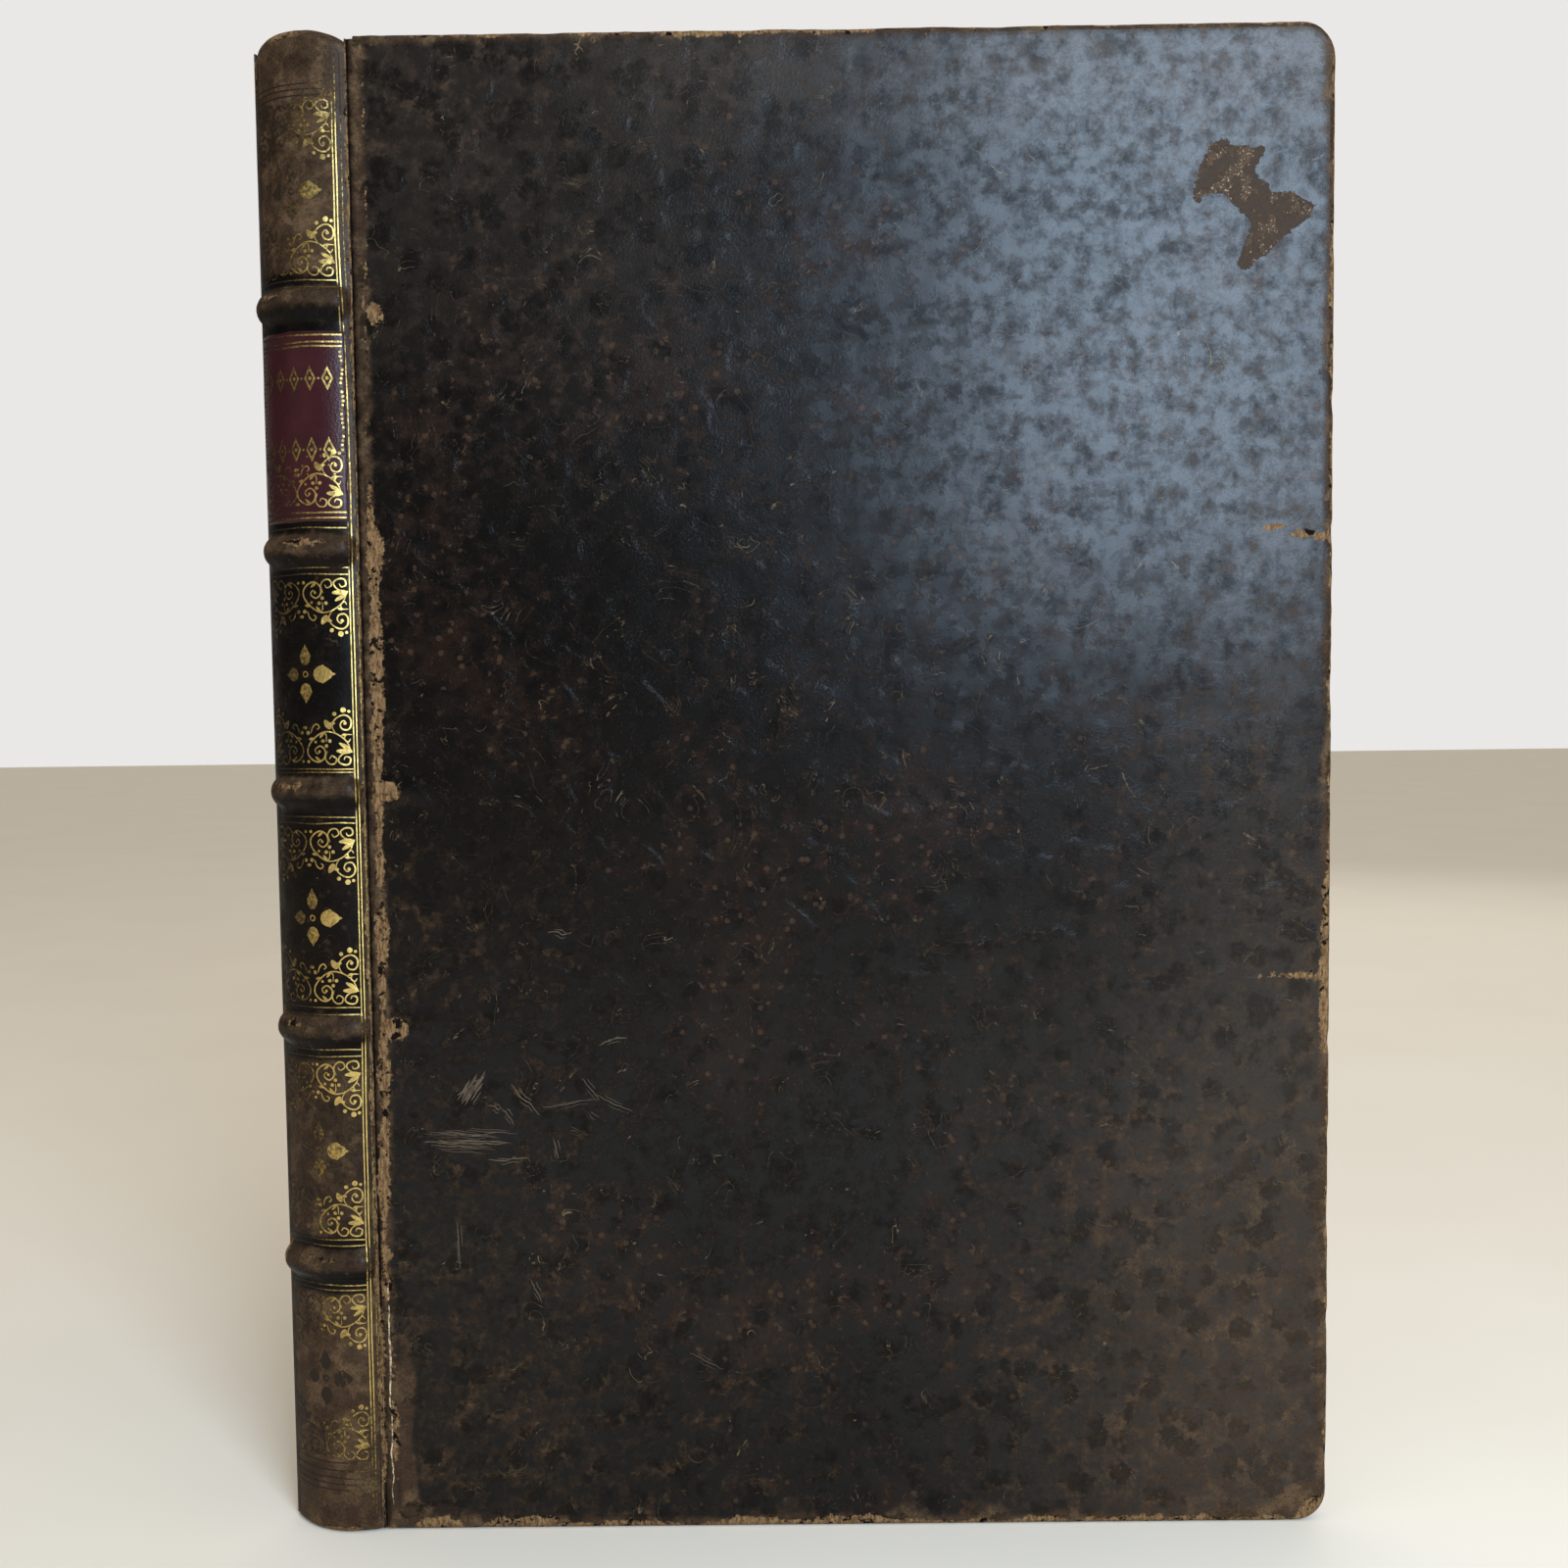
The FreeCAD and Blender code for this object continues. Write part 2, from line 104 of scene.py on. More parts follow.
# Sizes that the dressing repeats from the construction
COVER_CORNER = 7
EDGE_ROUND = 1.4
INNER_ROUND = 0.5
TURN_IN = 15
SPINE_ANGLE = radians(45)
SPINE_RADIUS = MIDDLE / sin(SPINE_ANGLE)
SPINE_LENGTH = 2 * SPINE_ANGLE * SPINE_RADIUS
SPINE_DEPTH = SPINE_RADIUS * cos(SPINE_ANGLE)
BAND_HALF = 3.5
BAND_HEIGHT = 2
BAND_BEAD = (BAND_HEIGHT**2 + BAND_HALF**2) / (2 * BAND_HEIGHT)
BLOCK_THICKNESS = 14.4
BLOCK_REACH = COVER_WIDTH - BLOCK_FOOT
BLOCK_RADIUS = SPINE_RADIUS - 1.05
FORE_HOLLOW = 2.5
SHOULDER_RUN = 0.5
SPINE_CUT = 0.5
COVER_CUT = 1.2
FOLD_GLUED = 1.6

# Values that several pieces share. WELD_GAP is in metres. SOUND is a field's value far from any damage.
# OTHER_SIDE and OTHER_SHEET shift the pattern of the back's pieces, so that they don't repeat the front's
WELD_GAP = 2e-6
SHARP_RIM = radians(50)
SOUND = -3
OTHER_SIDE = 600
OTHER_SHEET = 400


# Places

def stacked(*values):
    """Coordinates, given one by one, as rows of points."""
    return np.stack(np.broadcast_arrays(*values), axis=-1)


def in_part(x, y, z):
    """Points of the closed book as points of the part, in metres."""
    x, y, z = np.broadcast_arrays(np.asarray(x, float), y, z)
    flat = FRONT_CREASE + x[..., None] * ACROSS + y[..., None] * THROUGH
    return np.concatenate([flat, z[..., None]], axis=-1) * MM


def on_spine(s, z, lift=0):
    turn = SPINE_ANGLE - np.asarray(s, float) / SPINE_RADIUS
    reach = SPINE_RADIUS + np.asarray(lift, float)
    return in_part(SPINE_DEPTH - reach * np.cos(turn), MIDDLE - reach * np.sin(turn), z)


def on_front(u, z, depth=0):
    return stacked(FRONT_CREASE[0] + u, FRONT_CREASE[1] + depth, z) * MM


def on_back(u, z, depth=0):
    return in_part(u, BOOK_THICKNESS - np.asarray(depth, float), z)


PLACES = {"front": on_front, "back": on_back}


# Fields

def unit(value):
    return np.clip(value, 0, 1)


def smooth(value, low=0.0, high=1.0):
    share = unit((value - low) / (high - low))
    return share * share * (3 - 2 * share)


def wander(x, y, size, seed):
    """Smooth random values from -1 to 1 that change over about size millimetres."""
    x, y = np.broadcast_arrays(np.asarray(x, float) / size, np.asarray(y, float) / size)
    column, row = np.floor(x), np.floor(y)
    across, up = smooth(x - column), smooth(y - row)

    def value(i, j):
        return np.modf(np.abs(np.sin(i * 127.1 + j * 311.7 + seed * 74.7)) * 4375.85)[0] * 2 - 1

    low = value(column, row) * (1 - across) + value(column + 1, row) * across
    high = value(column, row + 1) * (1 - across) + value(column + 1, row + 1) * across
    return low * (1 - up) + high * up


def oval(u, z, centre, radii, tilt=0.0):
    """Distance inside an oval, negative outside it."""
    du, dz = u - centre[0], z - centre[1]
    turn = radians(tilt)
    a, b = du * cos(turn) + dz * sin(turn), dz * cos(turn) - du * sin(turn)
    return (1 - np.hypot(a / radii[0], b / radii[1])) * min(radii)


def stripe(u, z, start, end, radius):
    """Distance inside a round-ended stripe, negative outside it."""
    start, end = np.array(start, float), np.array(end, float)
    run = end - start
    share = unit(((u - start[0]) * run[0] + (z - start[1]) * run[1]) / (run @ run))
    return radius - np.hypot(u - start[0] - share * run[0], z - start[1] - share * run[1])


def polygon(u, z, corners):
    """Distance inside a polygon, negative outside it."""
    nearest = np.full(np.shape(u), 1e9)
    inside = np.zeros(np.shape(u), bool)
    for (u0, z0), (u1, z1) in zip(corners, corners[1:] + corners[:1]):
        nearest = np.minimum(nearest, -stripe(u, z, (u0, z0), (u1, z1), 0))
        crosses = (z0 > z) != (z1 > z)
        slope = (u1 - u0) / (z1 - z0) if z1 != z0 else 0.0
        inside ^= crosses & (u < u0 + slope * (z - z0))
    return np.where(inside, nearest, -nearest)


def largest(*fields):
    return np.maximum.reduce(np.broadcast_arrays(*fields))


def from_edge(u, z):
    """Distance of a point of a cover from its head, tail and fore-edge, whichever is nearest."""
    return np.minimum(np.minimum(z, COVER_HEIGHT - z), COVER_WIDTH - u)


# Meshes

def grid_faces(rows, columns, first=0):
    index = first + np.arange(rows * columns).reshape(rows, columns)
    corners = [index[:-1, :-1], index[1:, :-1], index[1:, 1:], index[:-1, 1:]]
    return np.stack(corners, axis=-1).reshape(-1, 4)


def make_piece(name, points, material, slot, body=None, node=None, faces=None, thickness=0,
               weld=False, flip=False, **fields):
    """A smooth mesh from arrays, which rides a body and stands for a node where those are given.

    Points without faces are a grid. Each field becomes a point attribute of the same name. A thickness lies
    on the side away from the normals.
    """
    if faces is None:
        faces = grid_faces(*points.shape[:2])
    points = np.reshape(points, (-1, 3))
    mesh = bpy.data.meshes.new(name)
    mesh.from_pydata(points.tolist(), [], faces.tolist())
    for field, values in fields.items():
        vector = field == "place"
        values = np.ravel(values) if np.ndim(values) else np.full(len(points), values)
        attribute = mesh.attributes.new(field, "FLOAT_VECTOR" if vector else "FLOAT", "POINT")
        attribute.data.foreach_set("vector" if vector else "value", values.astype(np.float32))
    if weld or flip:
        work = bmesh.new()
        work.from_mesh(mesh)
        if weld:
            bmesh.ops.remove_doubles(work, verts=work.verts, dist=WELD_GAP)
        if flip:
            bmesh.ops.reverse_faces(work, faces=work.faces)
        work.to_mesh(mesh)
        work.free()
    mesh.polygons.foreach_set("use_smooth", [True] * len(mesh.polygons))
    for one in material if isinstance(material, list) else [material]:
        mesh.materials.append(one)
    piece = bpy.data.objects.new(name, mesh)
    bpy.context.scene.collection.objects.link(piece)
    if thickness:
        solidify = piece.modifiers.new("thickness", "SOLIDIFY")
        solidify.thickness = thickness * MM
        solidify.offset = -1
        piece.modifiers.new("sharp_rim", "EDGE_SPLIT").split_angle = SHARP_RIM
    if body:
        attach(piece, body)
    if node:
        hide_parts(node)
    return piece


# Materials

def rgb(red, green, blue):
    """A display colour, 0 to 255, as the linear colour that the shader takes."""
    def linear(value):
        value /= 255
        return value / 12.92 if value <= 0.04045 else ((value + 0.055) / 1.055) ** 2.4
    return linear(red), linear(green), linear(blue), 1


class Value:
    """A node's output, which the next steps add to, multiply, step or mix colours by."""

    def __init__(self, nodes, socket):
        self.nodes, self.socket = nodes, socket

    def __add__(self, other):
        return self.nodes.calc("ADD", self, other)

    def __sub__(self, other):
        return self.nodes.calc("SUBTRACT", self, other)

    def __rsub__(self, other):
        return self.nodes.calc("SUBTRACT", other, self)

    def __mul__(self, other):
        return self.nodes.calc("MULTIPLY", self, other)

    __radd__, __rmul__ = __add__, __mul__

    def step(self, low, high, **ends):
        """0 at low, 1 at high, smooth between them."""
        inputs = {"Value": self, "From Min": low, "From Max": high}
        inputs |= {name.replace("_", " "): end for name, end in ends.items()}
        return self.nodes.node("MapRange", "Result", inputs, interpolation_type="SMOOTHSTEP")

    def mix(self, first, second):
        """The colour first where this is 0, second where it is 1."""
        return self.nodes.node("Mix", 2, {0: self, 6: first, 7: second}, data_type="RGBA")


class Nodes:
    """A node tree. Every step returns the value that the next step reads."""

    def __init__(self, tree):
        self.tree = tree

    def feed(self, socket, value):
        if isinstance(value, Value):
            self.tree.links.new(value.socket, socket)
        else:
            socket.default_value = value

    def node(self, kind, output, inputs=None, **settings):
        """One output of a new node, whose inputs go by name or by number."""
        node = self.tree.nodes.new(f"ShaderNode{kind}")
        for name, value in settings.items():
            setattr(node, name, value)
        for name, value in (inputs or {}).items():
            self.feed(node.inputs[name], value)
        return Value(self, node.outputs[output])

    def calc(self, operation, *values):
        return self.node("Math", 0, dict(enumerate(values)), operation=operation)


class Shade(Nodes):
    """One material. Its place is the field of that name, or the part's own millimetres where bare."""

    def __init__(self, name, dimensions="2D", bare=False):
        self.material = bpy.data.materials.new(name)
        self.material.use_nodes = True
        super().__init__(self.material.node_tree)
        self.surface = next(node for node in self.tree.nodes if node.type == "BSDF_PRINCIPLED")
        self.dimensions = dimensions
        self.place = self.node("TexCoord", "Object") if bare else self.read("place", "Vector")
        if bare:
            self.place = self.stretched((1 / MM, 1 / MM, 1 / MM))

    def read(self, field, output="Fac"):
        return self.node("Attribute", output, attribute_name=field)

    def stretched(self, factors):
        return self.node("VectorMath", 0, {0: self.place, 1: factors}, operation="MULTIPLY")

    def noise(self, size, detail=3.0, rough=0.5, warp=0.0, stretch=None):
        inputs = {"Vector": self.stretched(stretch) if stretch else self.place, "Scale": 1 / size,
                  "Detail": detail, "Roughness": rough, "Distortion": warp}
        return self.node("TexNoise", "Fac", inputs, noise_dimensions=self.dimensions)

    def cells(self, size):
        inputs = {"Vector": self.place, "Scale": 1 / size}
        return self.node("TexVoronoi", "Distance", inputs, voronoi_dimensions=self.dimensions)

    def waves(self, direction, scale, warp):
        inputs = {"Vector": self.place, "Scale": scale, "Distortion": warp}
        return self.node("TexWave", "Fac", inputs, bands_direction=direction)

    def relief(self, height):
        """Bump from a height in millimetres."""
        bump = self.node("Bump", "Normal", {"Height": height, "Distance": MM, "Strength": 1})
        self.feed(self.surface.inputs["Normal"], bump)

    def finish(self, **inputs):
        for name, value in inputs.items():
            self.feed(self.surface.inputs[name.replace("_", " ")], value)
        return self.material


DARK_CALF = rgb(5, 4, 3)
WARM_CALF = rgb(15, 10, 7)
RED_CALF = rgb(42, 26, 18)
BROWN_CALF = rgb(58, 42, 30)
PALE_CALF = rgb(90, 70, 50)
TAN_FLESH = rgb(130, 103, 71)
RAW_FLESH = rgb(80, 57, 37)
FLAKED = rgb(60, 50, 42)
FLAKED_WARM = rgb(78, 62, 48)
CHIPPED = rgb(140, 126, 110)
HAIRLINE = rgb(94, 79, 58)
FRECKLE = rgb(74, 54, 38)
HAZE = rgb(60, 52, 45)
BLIND_TOOLED = rgb(36, 26, 18)


def calf(name, gloss, polish, sprinkle=1.0, scuffed=1.0):
    """Sprinkled, polished and worn calf.

    Fields: place, tone (0 black to 1 brown; its black is also painted shade under the spine's bands and in
    the front joint's crease), rub and loss in millimetres, and haze (0 clear to 1 dull).
    """
    shade = Shade(name)
    tone, rub, loss, haze = (shade.read(field) for field in ("tone", "rub", "loss", "haze"))
    ragged = shade.noise(1.6, 4, 0.7) - 0.5
    speck = shade.noise(0.55, 2, 0.6)
    mottle = shade.noise(8, 5, 0.7)
    blots = shade.noise(3.8, 4, 0.66)
    clouds = shade.noise(34, 1, 0.6)

    # Colour of the sound leather
    ground = mottle.step(0.38, 0.62).mix(DARK_CALF, WARM_CALF)
    red = (blots * 0.5 + clouds * 0.5).step(0.47, 0.66)
    ground = (red * (0.36 * sprinkle)).mix(ground, RED_CALF)
    ground = (haze * (0.55 + blots * 0.9)).mix(ground, HAZE)
    brown = mottle.step(0.36, 0.66).mix(BROWN_CALF, PALE_CALF)
    brown = (speck.step(0.48, 0.66) * 0.4).mix(brown, WARM_CALF)
    # tone is low also where shade is painted: under the spine's bands and in the front joint's crease.
    worn_tone = tone + (blots - 0.5) * 0.95 + ragged * 0.6
    colour = worn_tone.step(0.15, 1.15).mix(ground, brown)
    dots = speck.step(0.63, 0.70) * blots.step(0.46, 0.58) * (0.65 * sprinkle)
    colour = dots.mix(colour, BROWN_CALF)
    drops = (shade.cells(6.8) + ragged * 0.6).step(0.46, 0.3)
    drops = drops * mottle.step(0.40, 0.56) * (0.75 * sprinkle) * (1 - haze * 0.7)
    colour = drops.mix(colour, DARK_CALF)
    freckles = shade.cells(3.7).step(0.2, 0.13)
    freckles = freckles * blots.step(0.5, 0.56) * clouds.step(0.47, 0.6) * (0.4 * sprinkle)
    colour = freckles.mix(colour, FRECKLE)
    hairs = shade.calc("ABSOLUTE", shade.noise(12, 3, 0.55, 1.2) - 0.5).step(0.0034, 0.0014)
    hairs = hairs * mottle.step(0.53, 0.57) * (0.75 * scuffed)
    colour = hairs.mix(colour, HAIRLINE)

    # Rubbed to the flesh side, and flaked patches
    rubbed = (rub + ragged * 2.6).step(-0.12, 0.22)
    fibre = shade.noise(0.7, 3, 0.75, stretch=(1.0, 0.3, 1.0))
    flesh = fibre.step(0.3, 0.7).mix(RAW_FLESH, TAN_FLESH)
    flesh = (blots + ragged * 0.5).step(0.56, 0.66).mix(flesh, WARM_CALF)
    colour = rubbed.mix(colour, flesh)
    flaked = (loss + ragged * 2.2).step(-0.05, 0.07)
    under = blots.step(0.45, 0.7).mix(FLAKED, FLAKED_WARM)
    under = (speck.step(0.62, 0.68) * blots.step(0.5, 0.58)).mix(under, CHIPPED)
    colour = flaked.mix(colour, under)
    bare = shade.calc("MAXIMUM", rubbed, flaked)

    # Relief
    grain = shade.cells(0.6) * 0.045 + shade.noise(0.36, 2, 0.65) * 0.05
    swell = shade.noise(9, 1, 0.5)
    pits = speck.step(0.36, 0.26) * -0.08
    craters = blots.step(0.53, 0.515) * swell.step(0.42, 0.56) * (0.16 * scuffed)
    worn_depth = rubbed * -0.12 + flaked * -0.22
    shade.relief(grain + pits + craters + swell * 0.24 + worn_depth + bare * fibre * 0.16)

    # Gloss
    dull = (mottle * 0.5 + blots * 0.5).step(0.38, 0.66)
    patina = gloss + dull * 0.16 + (blots - 0.5) * 0.34 + worn_tone.step(0.2, 1.0) * 0.10
    matt = 1 - worn_tone.step(0.3, 1.0) * 0.65
    coat = (1 - bare) * (1 - dull * 0.75) * matt * polish
    return shade.finish(Base_Color=colour, Roughness=patina * (1 - bare) + bare * 0.8,
                        Specular_IOR_Level=0.05, Coat_Weight=coat, Coat_Roughness=0.25)


def label_leather():
    shade = Shade("label_leather")
    ragged = shade.noise(1.2, 6, 0.7) - 0.5
    rubbed = (shade.read("rub") + ragged * 1.6).step(-0.1, 0.3)
    colour = shade.noise(6, 4, 0.6).mix(rgb(36, 9, 14), rgb(56, 18, 22))
    colour = rubbed.mix(colour, RAW_FLESH)
    shade.relief(shade.cells(0.6) * 0.05 + shade.noise(3, 4) * 0.08)
    return shade.finish(Base_Color=colour, Roughness=0.36 + rubbed * 0.35,
                        Specular_IOR_Level=0.2, Coat_Weight=0.15, Coat_Roughness=0.3)


def gold_leaf():
    """Gilt tooling, rubbed to the leather where its wear field is high; its dull gold is partly painted
    shade.
    """
    shade = Shade("gold_leaf")
    wear = shade.noise(0.75, 5, 0.7)
    broad = shade.noise(3.5, 3, 0.6)
    level = wear * 0.7 + broad * 0.3 + shade.read("worn")
    gone = level.step(0.80, 0.95)
    dull = level.step(0.5, 0.88)
    # The duller, darker gold is wear, and painted shade where the wear value rises toward the back joint.
    gold = dull.mix(rgb(214, 182, 108), rgb(96, 77, 46))
    shade.relief(wear * 0.10 + broad * 0.3)
    return shade.finish(Base_Color=gone.mix(gold, BLIND_TOOLED), Metallic=1 - gone, Specular_IOR_Level=0.15,
                        Roughness=0.34 + dull * 0.22)


def paper(name, across_leaves):
    """Aged laid paper, or the edges of the leaves where across_leaves is true."""
    shade = Shade(name, "3D" if across_leaves else "2D")
    colour = shade.noise(38, 4, 0.6).mix(rgb(214, 196, 158), rgb(232, 219, 188))
    foxing = shade.noise(7, 5, 0.65).step(0.64, 0.76)
    colour = (foxing * 0.5).mix(colour, rgb(168, 126, 80))
    fibres = shade.noise(0.7, 4, 0.7) * 0.03
    if across_leaves:
        lines = shade.noise(0.16, 3, 0.8, stretch=(0.012, 1.0, 0.012)).step(0.42, 0.62)
        gathers = shade.noise(0.9, 2, 0.5, stretch=(0.006, 1.0, 0.006)).step(0.6, 0.66)
        dirt = shade.noise(16, 4, 0.6).step(0.5, 0.75)
        colour = ((1 - lines) * 0.62).mix(colour, rgb(122, 92, 58))
        colour = (gathers * 0.5).mix(colour, rgb(88, 64, 42))
        colour = (dirt * 0.4).mix(colour, rgb(120, 96, 66))
        shade.relief(lines * 0.06 + fibres)
    else:
        colour = (shade.read("tone") * 0.75).mix(colour, rgb(134, 98, 60))
        shade.relief(shade.waves("Y", 0.55, 0.6) * 0.012 + fibres)
    return shade.finish(Base_Color=colour, Roughness=0.85)


def pasteboard():
    shade = Shade("pasteboard", "3D", bare=True)
    layers = shade.noise(0.5, 3, 0.6, stretch=(0.05, 1, 0.05))
    shade.relief(shade.noise(0.8, 5, 0.7) * 0.12)
    return shade.finish(Base_Color=layers.mix(rgb(150, 128, 98), rgb(178, 158, 126)), Roughness=0.9)


def hemp():
    shade = Shade("hemp_cord", "3D", bare=True)
    twist = shade.waves("DIAGONAL", 0.4, 1.5)
    shade.relief(twist * 0.3)
    return shade.finish(Base_Color=twist.mix(rgb(150, 124, 86), rgb(196, 172, 132)), Roughness=0.9)


def sewn_thread():
    """Two faded thread colours, told apart by the field tone."""
    shade = Shade("endband_thread", "3D")
    colour = shade.read("tone").mix(rgb(196, 174, 128), rgb(112, 52, 40))
    colour = shade.noise(2.2, 5, 0.65).step(0.45, 0.75).mix(colour, rgb(92, 72, 50))
    shade.relief(shade.noise(0.2, 3, 0.6) * 0.05)
    return shade.finish(Base_Color=colour, Roughness=0.8)


def scratched():
    """A dry material for scratches that cut through the polish."""
    shade = Shade("scratched_calf")
    shade.relief(shade.noise(0.4, 3) * 0.05)
    return shade.finish(Base_Color=shade.noise(1.2, 4, 0.7).mix(BROWN_CALF, HAIRLINE), Roughness=0.75)


def torn_fibres():
    """Pale fibres in a crack of the leather."""
    shade = Shade("torn_fibres")
    colour = shade.noise(1.1, 4, 0.7).step(0.35, 0.65).mix(rgb(88, 70, 50), rgb(188, 168, 132))
    return shade.finish(Base_Color=colour, Roughness=0.9)


COVER_CALF = calf("cover_calf", gloss=0.21, polish=0.37)
SPINE_CALF = calf("spine_calf", gloss=0.4, polish=0.14, sprinkle=0.5, scuffed=0.4)
LABEL_LEATHER = label_leather()
GOLD_LEAF = gold_leaf()
LEAF_EDGES = paper("leaf_edges", True)
ENDPAPER = paper("endpaper", False)
PASTEBOARD = pasteboard()
HEMP = hemp()
THREAD = sewn_thread()


# Covers

FLAKE_OUTLINE = [
    (185.5, 304.7), (188.5, 305.6), (189, 304), (197.3, 303.5), (195.6, 300.6), (194.0, 297.9),
    (196.4, 297.3), (198.3, 293.9), (203.4, 294.1), (205.3, 291.6), (208.3, 292.1), (206.5, 288.8),
    (201.9, 285.2), (194.4, 278.8), (191.9, 276.6), (190.9, 279.5), (193.9, 286.2), (193.4, 288.2),
    (189.9, 291.5), (188.0, 293.7), (184.2, 293.9), (182.3, 291.6), (181.1, 293.1), (182.2, 298.2),
]
# Rubbed spots of the front cover beside the bands and at the tail: middle, radii, tilt, how torn, and how
# much smaller. Then rubbed lines: start, end, radius and how torn
RUBBED_SPOTS = (
    ((4.7, 270.7), (1.7, 2.6), 20, 0, 0), ((3.4, 219.8), (2.0, 4.6), 0, 0.3, 0),
    ((4.9, 166.8), (2.5, 2.3), 0, 0.3, 0), ((4.9, 114.5), (2.9, 2.6), -10, 0.3, 0),
    ((1.6, 63.5), (1.2, 2.4), 0, 0, 0), ((2.3, 27), (1.3, 17), 0, 0.5, 0.55),
    ((11, 0.4), (6, 2.4), 0, 1.2, 0), ((33, 0.4), (9, 2.3), 0, 1.2, 0), ((52, 0.4), (6, 1.5), 0, 1.2, 0),
    ((80, 0.4), (9, 1.6), 0, 1.2, 0), ((106, 0.4), (9, 2.3), 0, 1.2, 0), ((150, 0.4), (9, 1.4), 0, 1.2, 0),
)
RUBBED_LINES = (
    ((196.8, 222.7), (210.7, 220.2), 0.75, 0.4), ((196.3, 124.3), (212.0, 124.1), 0.8, 0.4),
    ((211.2, 108), (211.4, 145), 1.5, 0.6), ((66, 330), (112, 330), 1.6, 1), ((20, 0), (205, 0), 1.5, 1),
)


def cover_rub(u, z, front):
    """How far inside rubbed leather a point of the cover's face lies, in millimetres."""
    edge = from_edge(u, z)
    ragged = wander(u, z, 5, 3) * 0.9 + wander(u, z, 1.7, 4) * 0.5
    corner_low = oval(u, z, (COVER_WIDTH - 1, 1), (7, 6))
    corner_high = oval(u, z, (COVER_WIDTH, COVER_HEIGHT), (4.5, 4.5))
    fields = [0.25 + ragged - edge, corner_low + ragged, corner_high + ragged]
    if front:
        beside = 1.6 + 1.2 * smooth(z, 60, 170) + 0.5 * wander(0, z, 16, 6)
        width = 1.15 + 0.7 * wander(0, z, 8, 5) - 1.6 * (1 - smooth(z, 48, 58)) - 1.5 * smooth(z, 222, 240)
        fields += [
            width - np.abs(u - beside) + ragged * 0.35 + 0.35 * wander(u, z, 1.1, 10),
            0.7 + 0.6 * ragged - (COVER_WIDTH - u),
            *(oval(u, z, middle, radii, tilt) + ragged * torn - less
              for middle, radii, tilt, torn, less in RUBBED_SPOTS),
            *(stripe(u, z, start, end, radius) + ragged * torn for start, end, radius, torn in RUBBED_LINES),
        ]
    else:
        fields += [1.2 + ragged - u, oval(u, z, (COVER_WIDTH, 190), (2.2, 14)) + ragged]
    return largest(*fields)


def cover_tone(u, z, front):
    """0 where the cover is black, 1 where it has worn brown."""
    edge = from_edge(u, z)
    low, high = smooth(-z, -215, -30), smooth(z, 190, 320)
    tone = 0.95 * smooth(-edge, -2.6, -0.4) + 0.20 * smooth(wander(u, z, 45, 8), 0.0, 0.9)
    tone = tone + low * (0.13 + 0.45 * smooth(u, 95, 195) + 0.25 * smooth(-u, -80, -20)) + 0.1 * high
    tone = tone + 0.55 * smooth(4.5 + 3.5 * wander(u, z, 9, 13) - z, 0, 3)
    tone = tone + 0.5 * smooth(2.5 + 2.5 * wander(u, z, 14, 14) - (COVER_WIDTH - u), 0, 2.5)
    tone = tone + 0.9 * smooth(oval(u, z, (COVER_WIDTH - 2, 2), (12, 9)), 0, 3)
    if front:
        tone = tone + 0.75 * smooth(4.2 + wander(u, z, 6, 9) - u, 0, 2.2)
        strip = smooth(2.6 + 1.3 * wander(u, z, 7, 21) - np.abs(u - 5.2), 0, 1.8)
        tone = tone + 1.1 * strip * smooth(-z, -48, -30)
    return unit(tone)


def cover_haze(u, z):
    """0 where the front cover is clear and dark, 1 where it has a dull film."""
    low, high = smooth(-z, -215, -30), smooth(z, 200, 325)
    haze = 0.26 * high * smooth(-u, -110, -60) + 0.5 * smooth(z, 296, 326) * smooth(u, 40, 90)
    haze = haze + 0.28 * low * smooth(u, 95, 195) + 0.25 * smooth(u, 150, 205)
    return unit(haze * (1 + 0.25 * wander(u, z, 25, 15)))


def cover_relief(u, z, front):
    """Depth of hollows in a cover's face, in millimetres, negative where it swells."""
    seed = 11 if front else 17
    depth = 0.10 * wander(u, z, 38, seed) + 0.035 * wander(u, z, 7, seed + 1)
    for level in BAND_LEVELS:
        slip = smooth(2.9 - np.abs(z - level), 0, 1.4) * smooth(15.5 - u, 0, 3) * smooth(u, 0.5, 2.5)
        depth = depth - 0.22 * slip
    if front:
        depth = depth + 0.18 * smooth(polygon(u, z, FLAKE_OUTLINE), -0.4, 0.4)
    return depth


